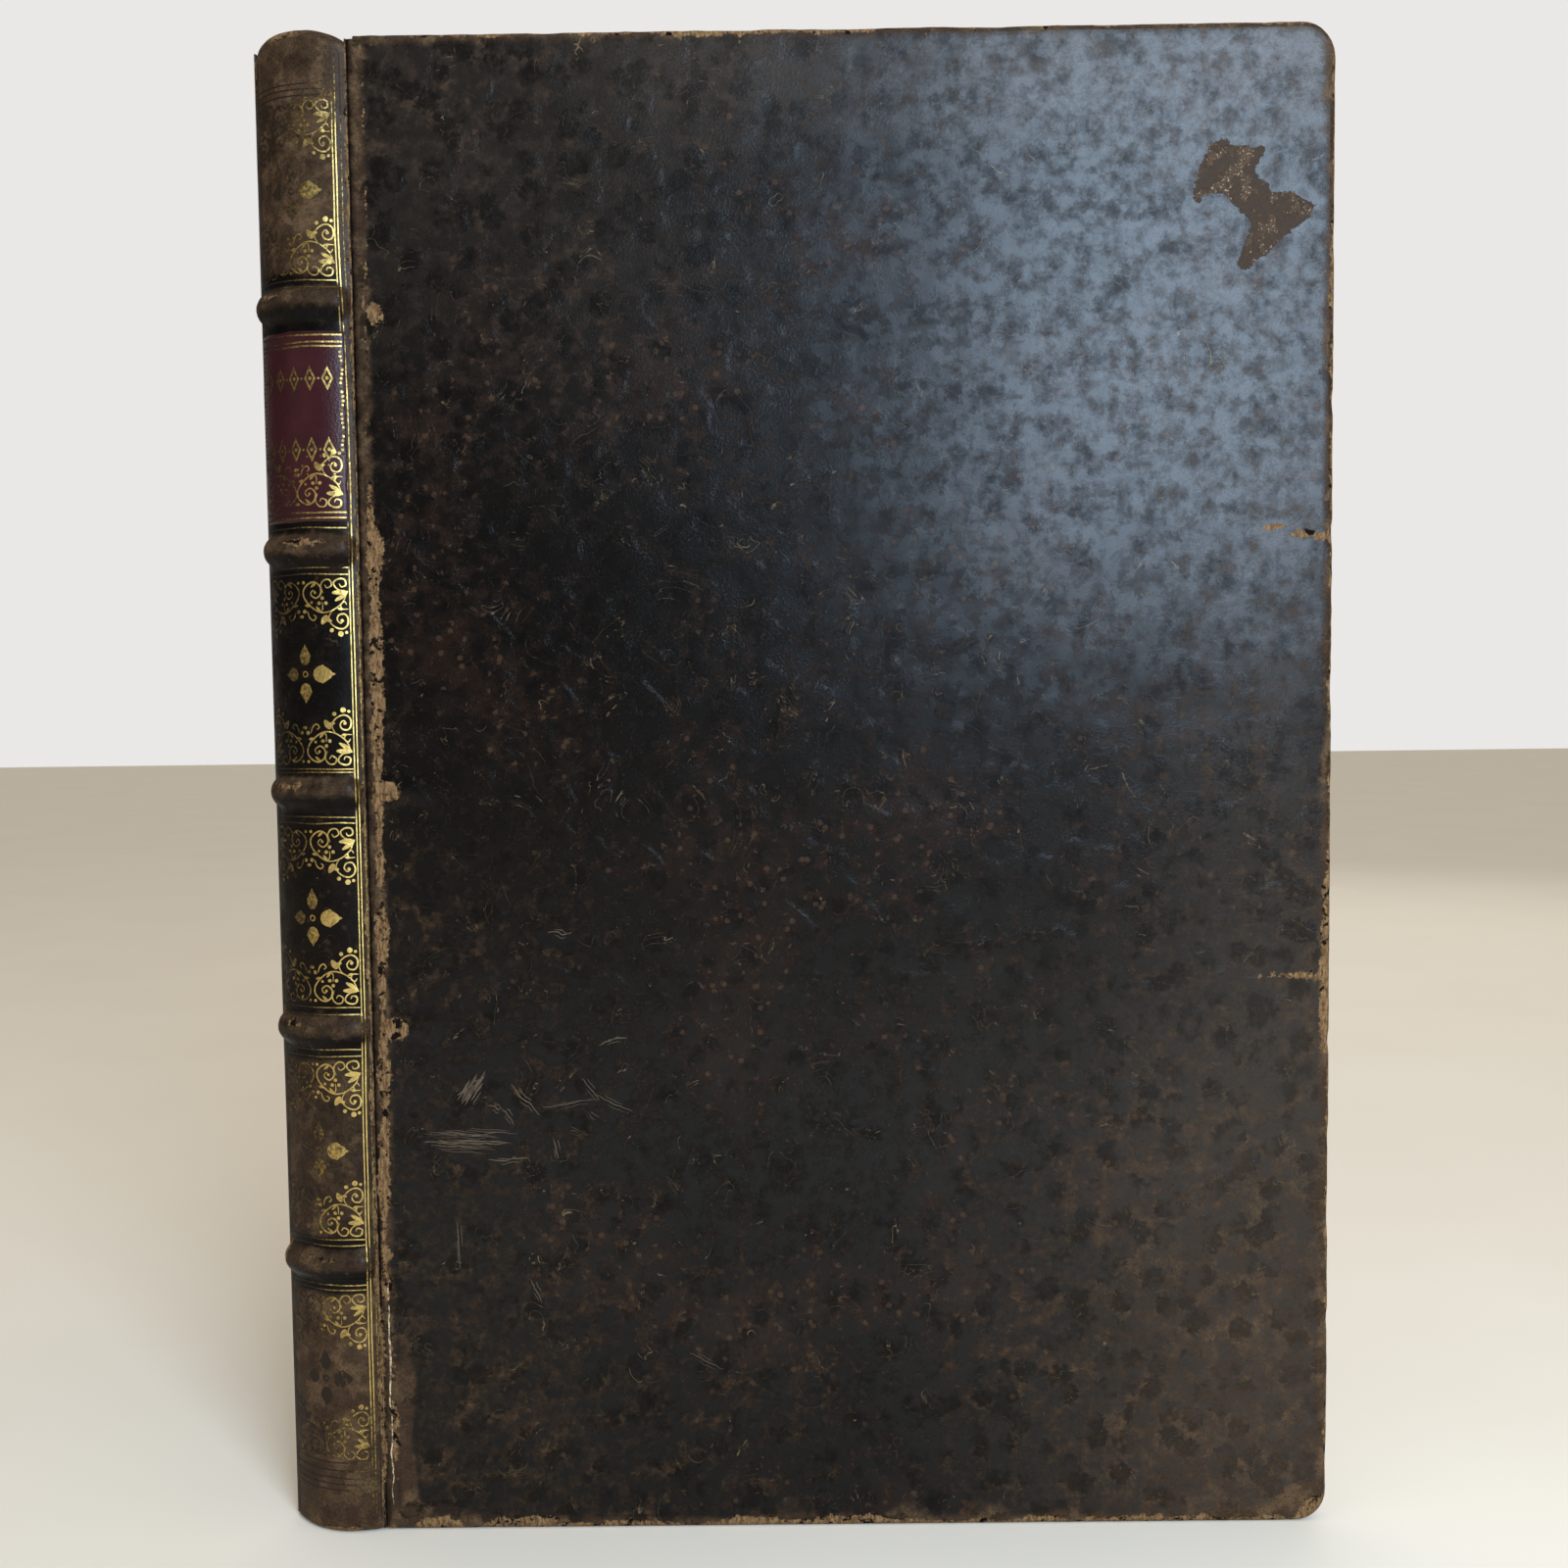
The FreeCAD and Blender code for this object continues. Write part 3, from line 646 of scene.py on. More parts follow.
def cover_skin(side):
    """The leather of one cover: face, rounded edges and the fold inside, as one sheet."""
    front = side == "front"
    pitch = 1.5
    across = np.concatenate([np.linspace(COVER_CUT, 9, 20)[:-1],
                             np.linspace(9, COVER_WIDTH - EDGE_ROUND, round(COVER_WIDTH / pitch) - 5)])
    up = np.linspace(EDGE_ROUND, COVER_HEIGHT - EDGE_ROUND, round(COVER_HEIGHT / pitch))
    u, z = np.meshgrid(across, up, indexing="ij")
    past = np.clip(u - (COVER_WIDTH - COVER_CORNER), 0, None)
    above = np.clip(z - (COVER_HEIGHT - COVER_CORNER), 0, None)
    below = np.clip(COVER_CORNER - z, 0, None)
    beyond = above - below
    reach = np.hypot(past, beyond)
    pull = np.where(reach > 0, np.maximum(past, np.abs(beyond)) / np.maximum(reach, 1e-9), 1)
    pull = np.where((past > 0) & (beyond != 0), pull, 1)
    u = u - past + past * pull
    z = z - beyond + beyond * pull
    rows, columns = u.shape
    face_depth = cover_relief(u, z, front)

    # The rim of the face, from the crease round the fore-edge and back
    rim = [(i, 0) for i in range(rows)] + [(rows - 1, j) for j in range(1, columns)]
    rim += [(i, columns - 1) for i in range(rows - 2, -1, -1)]
    i, j = np.array(rim).T
    rim_u, rim_z, rim_depth = u[i, j], z[i, j], face_depth[i, j]
    hub_u = np.minimum(rim_u, COVER_WIDTH - COVER_CORNER)
    hub_z = np.clip(rim_z, COVER_CORNER, COVER_HEIGHT - COVER_CORNER)
    out_u, out_z = rim_u - hub_u, rim_z - hub_z
    length = np.hypot(out_u, out_z)
    out_u, out_z = out_u / length, out_z / length
    along = np.concatenate([[0], np.cumsum(np.hypot(np.diff(rim_u), np.diff(rim_z)))])
    dents = 0.24 * smooth(wander(along, 0, 7, 21 + front), 0.1, 1) + 0.08 * wander(along, 0, 2.5, 23)
    dents = dents * (1 - 0.7 * smooth(-rim_z, -9, -4))

    # Rings from the face over the edge to the fold: inset, depth, and how much the dents show
    profile = []
    for turn in np.linspace(0, pi / 2, 6)[1:]:
        profile.append((EDGE_ROUND * (1 - sin(turn)), EDGE_ROUND * (1 - cos(turn)), sin(turn)))
    for depth in np.linspace(EDGE_ROUND, COVER_THICKNESS - INNER_ROUND, 4)[1:]:
        profile.append((0, depth, 1))
    for turn in np.linspace(0, pi / 2, 4)[1:]:
        profile.append((INNER_ROUND * (1 - cos(turn)), COVER_THICKNESS - INNER_ROUND * (1 - sin(turn)), 0.6))
    for inset in np.linspace(INNER_ROUND, TURN_IN, 8)[1:]:
        profile.append((inset, COVER_THICKNESS, 0))

    points = [stacked(u, z, face_depth).reshape(-1, 3)]
    flat = [stacked(u, z, 0).reshape(-1, 3)]
    travel, last = 0, (EDGE_ROUND, 0)
    faces = [grid_faces(rows, columns)]
    previous = i * columns + j
    count = rows * columns
    for inset, depth, bulge in profile:
        if inset <= EDGE_ROUND:
            ring_u = rim_u + out_u * (EDGE_ROUND - inset - dents * bulge)
            ring_z = rim_z + out_z * (EDGE_ROUND - inset - dents * bulge)
        else:
            ring_u = np.minimum(rim_u + out_u * EDGE_ROUND, COVER_WIDTH - inset)
            ring_z = np.clip(rim_z + out_z * EDGE_ROUND, inset, COVER_HEIGHT - inset)
        points.append(stacked(ring_u, ring_z, depth + rim_depth * (1 - bulge) * (depth < EDGE_ROUND)))
        travel += np.hypot(inset - last[0], depth - last[1])
        last = (inset, depth)
        flat.append(stacked(rim_u + out_u * travel, rim_z + out_z * travel, 0))
        current = count + np.arange(len(rim_u))
        faces.append(stacked(previous[:-1], current[:-1], current[1:], previous[1:]))
        previous = current
        count += len(rim_u)
    points = np.concatenate(points)
    u, z, depth = points.T
    rub = cover_rub(u, z, front)
    inner = depth > COVER_THICKNESS - 0.3
    edge_rub = wander(u, z, 12, 31 + front) * 1.6 - 0.7 + wander(u, z, 3, 33) * 0.5
    rub = np.where(inner, SOUND, np.where(depth > 0.5, np.maximum(rub * 0.4, edge_rub), rub))
    tone = np.where(depth > 0.6, np.where(inner, 0.85, 0.9), cover_tone(u, z, front))
    loss = polygon(u, z, FLAKE_OUTLINE) if front else SOUND
    loss = np.where(inner, SOUND, np.clip(loss, SOUND, -SOUND))
    place = np.concatenate(flat) + (0 if front else OTHER_SIDE)
    make_piece(f"{side}_cover_skin", PLACES[side](u, z, depth), COVER_CALF, "cover_calf", f"{side}_cover",
               f"{side}_cover_leather", np.concatenate(faces), thickness=0.4, weld=True, flip=not front,
               place=place, tone=tone, rub=rub, loss=loss, haze=cover_haze(u, z) * front)


for side in PLACES:
    cover_skin(side)


# Spine

CAP_DROP = 3.0
HEAD_ROLL = 2.6
TAIL_ROLL = 1.9
ROLL_TURN = 0.92 * pi
BAND_END = 4.15


def band_lift(s, z):
    """Height of the raised bands over the spine's arc."""
    past = np.clip(np.maximum(BAND_END - s, s - (SPINE_LENGTH - BAND_END)), 0, None)
    lift = np.zeros(np.broadcast(s, z).shape)
    for number, level in enumerate(BAND_LEVELS):
        away = np.hypot(z - level - 0.15 * wander(s, 0, 6, 40 + number), past)
        bead = np.sqrt(np.clip(BAND_BEAD**2 - away**2, 0, None)) - (BAND_BEAD - BAND_HEIGHT)
        lift = np.maximum(lift, 0.5 * (bead + np.sqrt(bead * bead + 0.09)) - 0.04)
    return np.clip(lift, 0, None) + 0.04 * wander(s, z, 5, 47)


def line_place(z):
    """Where the inner of the two upright gilt lines runs, from the crease."""
    return 1.75 + 1.0 * smooth(z, 245, 290) + 0.35 * smooth(-z, -125, -85)


def spine_tone_and_shade(s, z):
    """0 in the black fields and in the shade painted under each band, 1 where the calf is rubbed brown."""
    tone = 0.66 + 0.16 * smooth(z, 275, 285) + 0 * z
    tone = np.where((z > 110) & (z < 224), 0.05, tone)
    tone = np.where(z < 110, 0.74, tone)
    tone = np.where(z < 58, 0.98, tone)
    tone = np.where(z > 316, 0.98, tone)
    for level in BAND_LEVELS:
        over = smooth(4.4 - np.abs(z - level), 0, 1.2)
        # Each band is brown over its top and black along its underside: that black is painted shade.
        band_tone_and_shade = 0.78 - 0.75 * smooth(level - z, -0.2, 2.4)
        tone = tone * (1 - over) + band_tone_and_shade * over
        beside = smooth(7.2 - np.abs(z - level), 0, 1.5) * (1 - over)
        tone = tone * (1 - beside) + 0.12 * beside
    brown_edge = 0.75 * smooth(line_place(z) - s, -0.2, 0.6)
    left_edge = 0.35 * smooth(s, SPINE_LENGTH - 3.5, SPINE_LENGTH)
    return unit(largest(tone, brown_edge, left_edge) + 0.12 * wander(s, z, 9, 51))


def spine_rub(s, z, crown):
    """How far inside rubbed leather a point of the spine lies. crown is 1 at the top of the head cap."""
    ragged = wander(s, z, 4, 61) * 0.7 + wander(s, z, 1.5, 62) * 0.4
    fields = [
        oval(s, z, (16, 331.4), (7, 2.2)) + ragged * 0.8,
        oval(s, z, (SPINE_LENGTH - 1, 325), (2, 7)) + ragged,
        oval(s, z, (12, 0), (11, 1.6)) + ragged,
        stripe(s, z, (0.2, 60), (0.2, 225), 0.55) + ragged,
        stripe(s, z, (0.3, 6), (0.3, 322), 0.5) + 0.6 * ragged,
        -0.9 + 0.9 * crown + ragged * 0.6,
    ]
    for number, level in enumerate(BAND_LEVELS):
        top = (16 + 3 * wander(number, 0, 1, 66), level + 1.7)
        fields.append(oval(s, z, (24.5, level + 1), (1.6, 3)) + ragged)
        fields.append(oval(s, z, top, (7, 0.9)) + ragged * 0.9 - 0.5)
    return largest(*fields)


def spine_section(s, along):
    """Lift and height of the spine leather's outline at a column s: tail roll, wall and head roll.

    along runs 0 to 1 over the tail roll, 1 to 2 over the wall and 2 to 3 over the head roll.
    """
    side = np.abs(s - SPINE_LENGTH / 2) / (SPINE_LENGTH / 2)
    worn_corner = 2.6 * smooth(s, SPINE_LENGTH - 5, SPINE_LENGTH)
    top = HEAD_TOP - CAP_DROP * side**3 - worn_corner
    foot = 0.7 * side**3
    slim = 1 - 0.62 * smooth(side, 0.55, 1)
    head_roll, tail_roll = HEAD_ROLL * slim, TAIL_ROLL * slim
    low, high = foot + tail_roll, top - head_roll
    tail_turn = (1 - unit(along)) * ROLL_TURN
    head_turn = unit(along - 2) * ROLL_TURN
    wall = low + unit(along - 1) * (high - low)
    lift = tail_roll * (np.cos(tail_turn) - 1) + head_roll * (np.cos(head_turn) - 1)
    z = wall - tail_roll * np.sin(tail_turn) + head_roll * np.sin(head_turn)
    return lift, z


def spine_skin():
    columns = np.linspace(SPINE_CUT, SPINE_LENGTH - SPINE_CUT, 64)
    along = np.concatenate([np.linspace(0, 1, 11)[:-1], np.linspace(1, 2, 420)[:-1], np.linspace(2, 3, 15)])
    s, t = np.meshgrid(columns, along, indexing="ij")
    lift, z = spine_section(s, t)
    wall = smooth(t, 1, 1.01) * smooth(-t, -2, -1.99)
    lift = lift + band_lift(s, z) * wall
    lift = lift - 0.25 * smooth(wander(s, z, 3.5, 71), 0.4, 1) * smooth(t, 2, 2.3)
    crown = smooth(t, 2.1, 2.5)
    tone, rub = spine_tone_and_shade(s, z), spine_rub(s, z, crown)
    rub = np.where((t < 0.4) | (t > 2.8), -2, rub)
    rolled = HEAD_ROLL * unit(t - 2) * 3 - TAIL_ROLL * (1 - unit(t)) * 3
    make_piece("spine_skin", on_spine(s, z, lift), SPINE_CALF, "spine_calf", "text_and_spine",
               "spine_leather", thickness=0.7, flip=True,
               place=stacked(s - OTHER_SIDE / 2, z + rolled, 0), tone=tone, rub=rub, loss=SOUND)


spine_skin()


# Joint leather, from the spine round the crease to each cover

CREASE_SHARE = 0.4


def joint_leather(side):
    front = side == "front"
    s_edge = SPINE_CUT if front else SPINE_LENGTH - SPINE_CUT
    z = np.linspace(0.7, COVER_HEIGHT - 1.0, 440)
    spine_end = on_spine(s_edge, z)
    cover_end = PLACES[side](COVER_CUT, z, cover_relief(COVER_CUT + 0 * z, z, front))
    crease = on_spine(0 if front else SPINE_LENGTH, z)
    outward = on_spine(s_edge, z[:1], 1)[0] - spine_end[0]
    shares = np.linspace(0, 1, 13)
    columns = []
    for share in shares:
        if share < CREASE_SHARE:
            base = spine_end + (crease - spine_end) * (share / CREASE_SHARE)
        else:
            base = crease + (cover_end - crease) * ((share - CREASE_SHARE) / (1 - CREASE_SHARE))
        groove = 0.28 * np.exp(-(((share - CREASE_SHARE) / 0.2) ** 2)) * smooth(share, 0, 0.42)
        columns.append(base - outward * groove)
    points = np.stack(columns)
    u = np.interp(shares, [0, CREASE_SHARE, 1], [-SPINE_CUT, 0, COVER_CUT])[:, None] + 0 * z
    if front:
        crack = stripe(u, z, (-0.1, 11), (0.1, 51), 0.38) + 0.25 * wander(z, u, 5, 83)
        spine_side = 0.1 + 0.4 * wander(z, 0, 7, 84) - 2 * smooth(u, -0.3, 0.1)
        rub = largest(cover_rub(np.maximum(u, 0), z, True) - 0.5 * (u < 0.3), crack, spine_side)
        # Brown on both sides, falling to black at the crease: that black is painted shade.
        tone = np.interp(shares, [0, 0.3, 0.4, 0.55, 1], [0.85, 0.6, 0.0, 0.5, 0.8])[:, None] + 0 * z
    else:
        rub = wander(u, z, 6, 81) * 0.9 - 0.2
        tone = 0.55
    place = stacked(u, z, 0) + (0 if front else OTHER_SIDE)
    piece = make_piece(f"{side}_joint_leather", points, SPINE_CALF, "cover_calf", thickness=0.4,
                       flip=not front, place=place, tone=tone, rub=rub, loss=SOUND)
    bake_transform(piece)


for side in PLACES:
    joint_leather(side)


# Title label, with plain ornament in place of a title

LABEL_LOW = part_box("title_label")[0].z / MM
LABEL_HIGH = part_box("title_label")[1].z / MM
LABEL_START = 2.2
LABEL_LIFT = 0.3


def title_label():
    s, z = np.meshgrid(np.linspace(LABEL_START, SPINE_LENGTH - LABEL_START, 46),
                       np.linspace(LABEL_LOW, LABEL_HIGH, 80), indexing="ij")
    edge = np.minimum(np.minimum(s - LABEL_START, SPINE_LENGTH - LABEL_START - s),
                      np.minimum(z - LABEL_LOW, LABEL_HIGH - z))
    s = s + 0.25 * wander(s, z, 3, 91) * smooth(-edge, -1, 0)
    z = z + 0.2 * wander(s, z, 3, 92) * smooth(-edge, -1, 0)
    lift = LABEL_LIFT * smooth(edge, -0.2, 0.5) + 0.06
    rub = 0.3 * wander(s, z, 4, 93) - edge * 1.2 - 0.1
    make_piece("title_label_skin", on_spine(s, z, lift), LABEL_LEATHER, "label_leather", "text_and_spine",
               "title_label", thickness=0.25, flip=True, place=stacked(s, z, lift), rub=rub)


title_label()


# Gilding: flat strokes laid on the spine

STROKE_SHARE = 0.88


class Strokes:
    """Collects strokes as strips and discs in flat places (s or u, z), each point with wear and painted
    shade.
    """

    def __init__(self):
        self.places, self.faces, self.wear = [], [], []
        self.count = 0

    def strip(self, left, right, worn=0.0):
        """A strip between two lines of points."""
        points = np.stack([left, right], axis=1).reshape(-1, 2)
        base = self.count + 2 * np.arange(len(left) - 1)
        self.faces.append(stacked(base, base + 1, base + 3, base + 2))
        self.places.append(points)
        self.wear.append(np.broadcast_to(worn, len(points)))
        self.count += len(points)

    def ribbon(self, line, width, worn=0.0, taper=True):
        """A stroke of the given width along a line of points."""
        line = np.asarray(line, float)
        run = np.gradient(line, axis=0)
        run /= np.maximum(np.linalg.norm(run, axis=1, keepdims=True), 1e-9)
        half = np.full(len(line), width / 2)
        if taper:
            half *= STROKE_SHARE * (0.35 + 0.65 * np.sqrt(np.sin(pi * np.linspace(0, 1, len(line)))))
        half = stacked(-run[:, 1], run[:, 0]) * half[:, None]
        self.strip(line + half, line - half, worn)

    def disc(self, centre, radius, worn, hole=0.0):
        turn = np.linspace(0, 2 * pi, 13)
        ring = stacked(np.cos(turn), np.sin(turn))
        self.strip(centre + ring * radius, centre + ring * hole, worn)

    def leaf(self, start, end, width, worn, heart=0.0):
        """A pointed leaf from start to its tip at end."""
        start, end = np.array(start, float), np.array(end, float)
        share = np.linspace(0, 1, 22)
        line = start + (end - start) * share[:, None]
        side = np.array([-(end - start)[1], (end - start)[0]]) / np.linalg.norm(end - start)
        round_part = np.sqrt(unit(1 - ((share - 0.42) / 0.42) ** 2))
        tip = unit(1 - share) ** 0.9 * 1.15
        half = np.where(share < 0.42, round_part, np.minimum(round_part + 0.35 * heart, tip / 0.62))
        half = side * (half * width / 2 * unit((1 - share) / 0.06))[:, None]
        self.strip(line + half, line - half, worn)

    def build(self, name, place_on, height, material, body, slot, back_wear_and_shade=0.0):
        across, z = np.concatenate(self.places).T
        # The extra value toward the back joint is partly wear, partly painted shade on the gilt.
        worn = np.concatenate(self.wear) + back_wear_and_shade * smooth(across, 5, 23)
        points = place_on(across, z, height(across, z))
        make_piece(name, points, material, slot, body, faces=np.concatenate(self.faces),
                   place=stacked(across, z, 0), worn=worn)


def smooth_line(points, count=28):
    """A smooth curve that passes through a few points."""
    points = np.array(points, float)
    ends = [2 * points[0] - points[1], *points, 2 * points[-1] - points[-2]]
    ends = np.array(ends)
    steps = np.linspace(0, len(points) - 1 - 1e-6, count)
    index = steps.astype(int)
    t = (steps - index)[:, None]
    a, b, c, d = (ends[index + shift] for shift in range(4))
    return 0.5 * (2 * b + (c - a) * t + (2 * a - 5 * b + 4 * c - d) * t**2 + (3 * b - 3 * c + d - a) * t**3)


# One corner stamp: distances from the upright line and from the level line, toward the field's middle
STEM = [(0.3, 3.2), (1.3, 5.4), (3.5, 7.1), (5.9, 7.5), (8.0, 6.4), (9.7, 4.5), (10.0, 2.8), (8.9, 1.4),
        (7.4, 0.9), (6.1, 1.8), (5.9, 3.4), (7.0, 4.4), (8.2, 3.6), (7.7, 2.7), (7.1, 3.1)]
LOW_SCROLL = [(3.5, 7.1), (4.2, 8.4), (4.0, 9.7), (2.8, 10.8), (1.4, 11.1), (0.35, 10.3), (0.2, 8.9),
              (0.9, 7.9), (2.1, 8.1), (2.5, 9.1), (1.8, 9.9), (1.1, 9.3)]
SMALL_SCROLL = [(5.4, 3.3), (5.9, 1.7), (5.1, 0.5), (3.9, 0.5), (3.5, 1.6), (4.5, 2.2), (5.0, 1.5)]
CORNER_SCROLL = [(0.3, 3.2), (2.4, 2.4), (3.1, 1.1), (2.1, 0.3), (0.8, 0.4), (0.5, 1.6), (1.5, 2.0),
                 (1.9, 1.3)]
SIDE_SCROLL = [(0.1, 6.8), (1.3, 6.8), (1.7, 5.9), (0.9, 5.2), (0.4, 5.9)]
CURLS = [[(9.1, 7.2), (8.6, 8.6), (7.7, 9.2), (7.1, 8.5), (7.7, 8.0)], [(6.3, 7.4), (5.6, 6.8), (5.6, 5.2)]]
BERRIES = [((8.05, 5.3), 0.3), ((6.35, 5.5), 0.4), ((4.85, 5.5), 0.4), ((5.6, 4.4), 0.4), ((9.8, 7.3), 0.45),
           ((10.4, 8.4), 0.35), ((3.7, 11.4), 0.45), ((1.8, 12.2), 0.6), ((0.6, 11.9), 0.35),
           ((7.2, 3.2), 0.3), ((1.5, 9.3), 0.35), ((9.9, 1.0), 0.35)]
LEAVES = [((0.3, 3.1), (4.1, 3.3), 1.1), ((0.4, 3.5), (3.3, 5.3), 0.9), ((4.6, 8.1), (6.1, 10.4), 1.3),
          ((0.1, 2.9), (1.9, 4.7), 0.7), ((8.3, 6.0), (9.9, 5.9), 0.7), ((3.6, 9.4), (5.0, 9.2), 0.7),
          ((6.9, 0.9), (8.4, 2.3), 0.6), ((1.2, 6.9), (2.6, 6.6), 0.6), ((6.1, 7.4), (7.2, 6.0), 0.6)]


def corner_stamp(gilding, s, z, right, down, worn):
    """Scrolls, leaves and berries that fill one corner of a compartment."""
    def at(points):
        points = np.asarray(points, float)
        return stacked(s + right * points[..., 0], z - down * points[..., 1])
    for line, width in ((STEM, 0.42), (LOW_SCROLL, 0.4), (SMALL_SCROLL, 0.36), (CORNER_SCROLL, 0.42),
                        (SIDE_SCROLL, 0.34), (CURLS[0], 0.36), (CURLS[1], 0.26)):
        gilding.ribbon(smooth_line(at(line), 3 * len(line)), width, worn)
    for centre, radius in BERRIES:
        gilding.disc(at(centre), radius, worn)
    for start, end, width in LEAVES:
        gilding.leaf(at(start), at(end), width, worn)


# Petals of a flower: direction in degrees, reach, width, extra wear
PETALS = ((180, 6.9, 3.7, 0), (90, 6.6, 2.5, 0.1), (0, 5.4, 2.9, 0.1), (270, 6.4, 2.8, 0.06))


def flower(gilding, s, z, worn):
    """Four acorn petals set crosswise round a small ring."""
    gilding.disc((s, z), 0.75, worn + 0.1, hole=0.42)
    for turn, length, width, extra in PETALS:
        way = np.array([cos(radians(turn)), sin(radians(turn))])
        gilding.leaf((s, z) + way * 1.9, (s, z) + way * length, width, worn + extra, heart=0.5)


LEVEL_LINES = [319.2, 318.0, 316.7, 277.8, 276.2, 226.7, 224.8, 216.2, 214.8, 172.4, 171.5, 161.7, 160.4,
               119.5, 118.0, 110.1, 108.6, 67.3, 66.0, 57.0, 55.9, 16.3, 14.5, 12.7, 11.3, 9.9]
# Compartments: top and bottom lines, then the wear of the top stamps, the bottom stamps and the flower
COMPARTMENTS = [(316.7, 277.8, 0.22, 0.10, 0.22), (214.8, 172.4, 0.02, 0.02, 0.05),
                (160.4, 119.5, 0.0, 0.0, 0.04), (108.6, 67.3, 0.03, 0.12, 0.16),
                (55.9, 16.3, 0.16, 0.24, 0.42)]


def tool_spine():
    gilding = Strokes()
    half = SPINE_LENGTH / 2
    for number, level in enumerate(LEVEL_LINES):
        s = np.linspace(line_place(level) + 0.9, SPINE_LENGTH - line_place(level) - 0.9, 40)
        z = level + 0.14 * wander(s, 0, 6, 100 + number) + 0.15 * np.sin(pi * s / SPINE_LENGTH)
        # The gilt's wear value rises toward the back joint: partly wear, partly painted shade.
        worn = 0.10 + 0.014 * (s - 3) + (0.24 if level > 315 or level < 17 else 0)
        gilding.ribbon(stacked(s, z), 0.27, np.repeat(worn, 2), taper=False)
    for offset, width, extra in ((0.0, 0.24, 0.0), (0.68, 0.24, 0.03), (-1.08, 0.22, 0.26)):
        for mirror in (False, True):
            z = np.linspace(3, 326, 430)
            s = line_place(z) + offset
            s = SPINE_LENGTH - s if mirror else s
            # Mirrored lines, by the back joint, carry a higher wear value: partly wear, partly painted shade.
            worn = 0.04 + extra + 0.2 * mirror + 0.38 * smooth(z, 300, 326) + 0.38 * smooth(-z, -40, -4)
            over_band = largest(*[smooth(4.6 - np.abs(z - level), 0, 0.8) for level in BAND_LEVELS])
            dashes = (wander(z, 0, 2.3, 140 + round(offset * 10)) > 0.2) * over_band
            worn = worn + 0.3 * dashes + 0.16 * smooth(z, 223, 226) * smooth(-z, -275, -272)
            line = stacked(s + 0.06 * wander(z, 0, 9, 7), z)
            gilding.ribbon(line, width, np.repeat(worn, 2), taper=False)
    for top, bottom, worn_top, worn_bottom, worn_flower in COMPARTMENTS:
        for right in (1, -1):
            for edge, down, worn in ((top, 1, worn_top), (bottom, -1, worn_bottom)):
                level = edge - down * 0.7
                s = line_place(level) + 1.0
                s = s if right > 0 else SPINE_LENGTH - s
                # Stamps by the back joint carry a higher wear value: partly wear, partly painted shade.
                corner_stamp(gilding, s, level, right, down, worn + 0.13 * (right < 0))
        flower(gilding, half - 0.5, (top + bottom) / 2 - 0.4, worn_flower)
    gilding.build("spine_gilding", on_spine, lambda s, z: band_lift(s, z) + 0.07, GOLD_LEAF, "text_and_spine",
                  "spine_calf", back_wear_and_shade=0.26)


LOZENGE = np.array([(0, 2.7), (1.25, 0), (0, -2.7), (-1.25, 0), (0, 2.7)])


def tool_label():
    """Rules, lozenges, dots and corner stamps on the label."""
    gilding = Strokes()
    start, end = LABEL_START + 0.5, SPINE_LENGTH - LABEL_START - 0.5
    for level in (LABEL_HIGH - 0.9, LABEL_HIGH - 2.4, LABEL_HIGH - 3.3, LABEL_LOW + 0.8, LABEL_LOW + 2.0):
        s = np.linspace(start, end, 30)
        line = stacked(s, level + 0.1 * wander(s, 0, 5, level))
        # The gilt's wear value rises toward the back joint: partly wear, partly painted shade.
        gilding.ribbon(line, 0.36, np.repeat(0.05 + 0.01 * s, 2), taper=False)
    for number, z in enumerate(np.arange(LABEL_LOW + 14.5, LABEL_HIGH - 4, 0.95)):
        for s in (start + 0.25 + 0.22 * sin(number * 0.9), end - 0.25):
            gilding.disc((s, z), 0.3, 0.16 + 0.2 * (number % 5 == 0))
    for level in (LABEL_HIGH - 10.2, LABEL_HIGH - 25.4):
        for number in range(5):
            s = start + 3.2 + number * 3.7
            gilding.strip((s, level) + LOZENGE, (s, level) + LOZENGE * 0.62, 0.16)
            gilding.disc((s, level), 0.4, 0.12)
            gilding.disc((s + 1.85, level), 0.28, 0.15)
    for row in range(3):
        for number in range(7):
            s = start + 2.2 + 2.9 * number + 1.2 * (row % 2)
            gilding.disc((s, LABEL_LOW + 14 - 1.9 * row), 0.26, 0.2)
    for right in (1, -1):
        s = start + 0.5 if right > 0 else end - 0.5
        # The stamp by the back joint carries a higher wear value: partly wear, partly painted shade.
        corner_stamp(gilding, s, LABEL_LOW + 2.8, right, -1, 0.06 if right > 0 else 0.2)
    gilding.build("label_gilding", on_spine, lambda s, z: LABEL_LIFT + 0.12, GOLD_LEAF, "text_and_spine",
                  "label_leather", back_wear_and_shade=0.26)


tool_spine()
tool_label()


# Scratches on the front cover: the two ends of each, and its width
SCRATCHES = [
    (25.2, 97.0, 28.3, 96.3, 0.3), (28.1, 96.1, 30.8, 93.1, 0.3), (30.3, 101.4, 36.5, 94.9, 0.35),
    (50.0, 110.7, 56.3, 111.9, 0.35), (46.1, 102.5, 49.8, 98.0, 0.25), (49.2, 99.3, 57.3, 95.3, 0.25),
    (37.2, 96.2, 49.8, 98.0, 0.2), (11.8, 91.4, 28.2, 90.6, 0.25), (10.5, 89.1, 28.8, 88.4, 0.35),
    (24.9, 85.1, 33.8, 84.7, 0.4), (39.5, 89.2, 40.5, 85.3, 0.3), (39.2, 135.5, 44.5, 135.2, 0.3),
    (17.6, 70.8, 18.0, 60.5, 0.3), (33.8, 57.1, 36.2, 52.5, 0.3), (20.2, 98.3, 24.1, 103.4, 0.9),
    (18.3, 99.0, 22.8, 102.7, 0.5), (69.0, 39.9, 76.6, 36.5, 0.2),
]


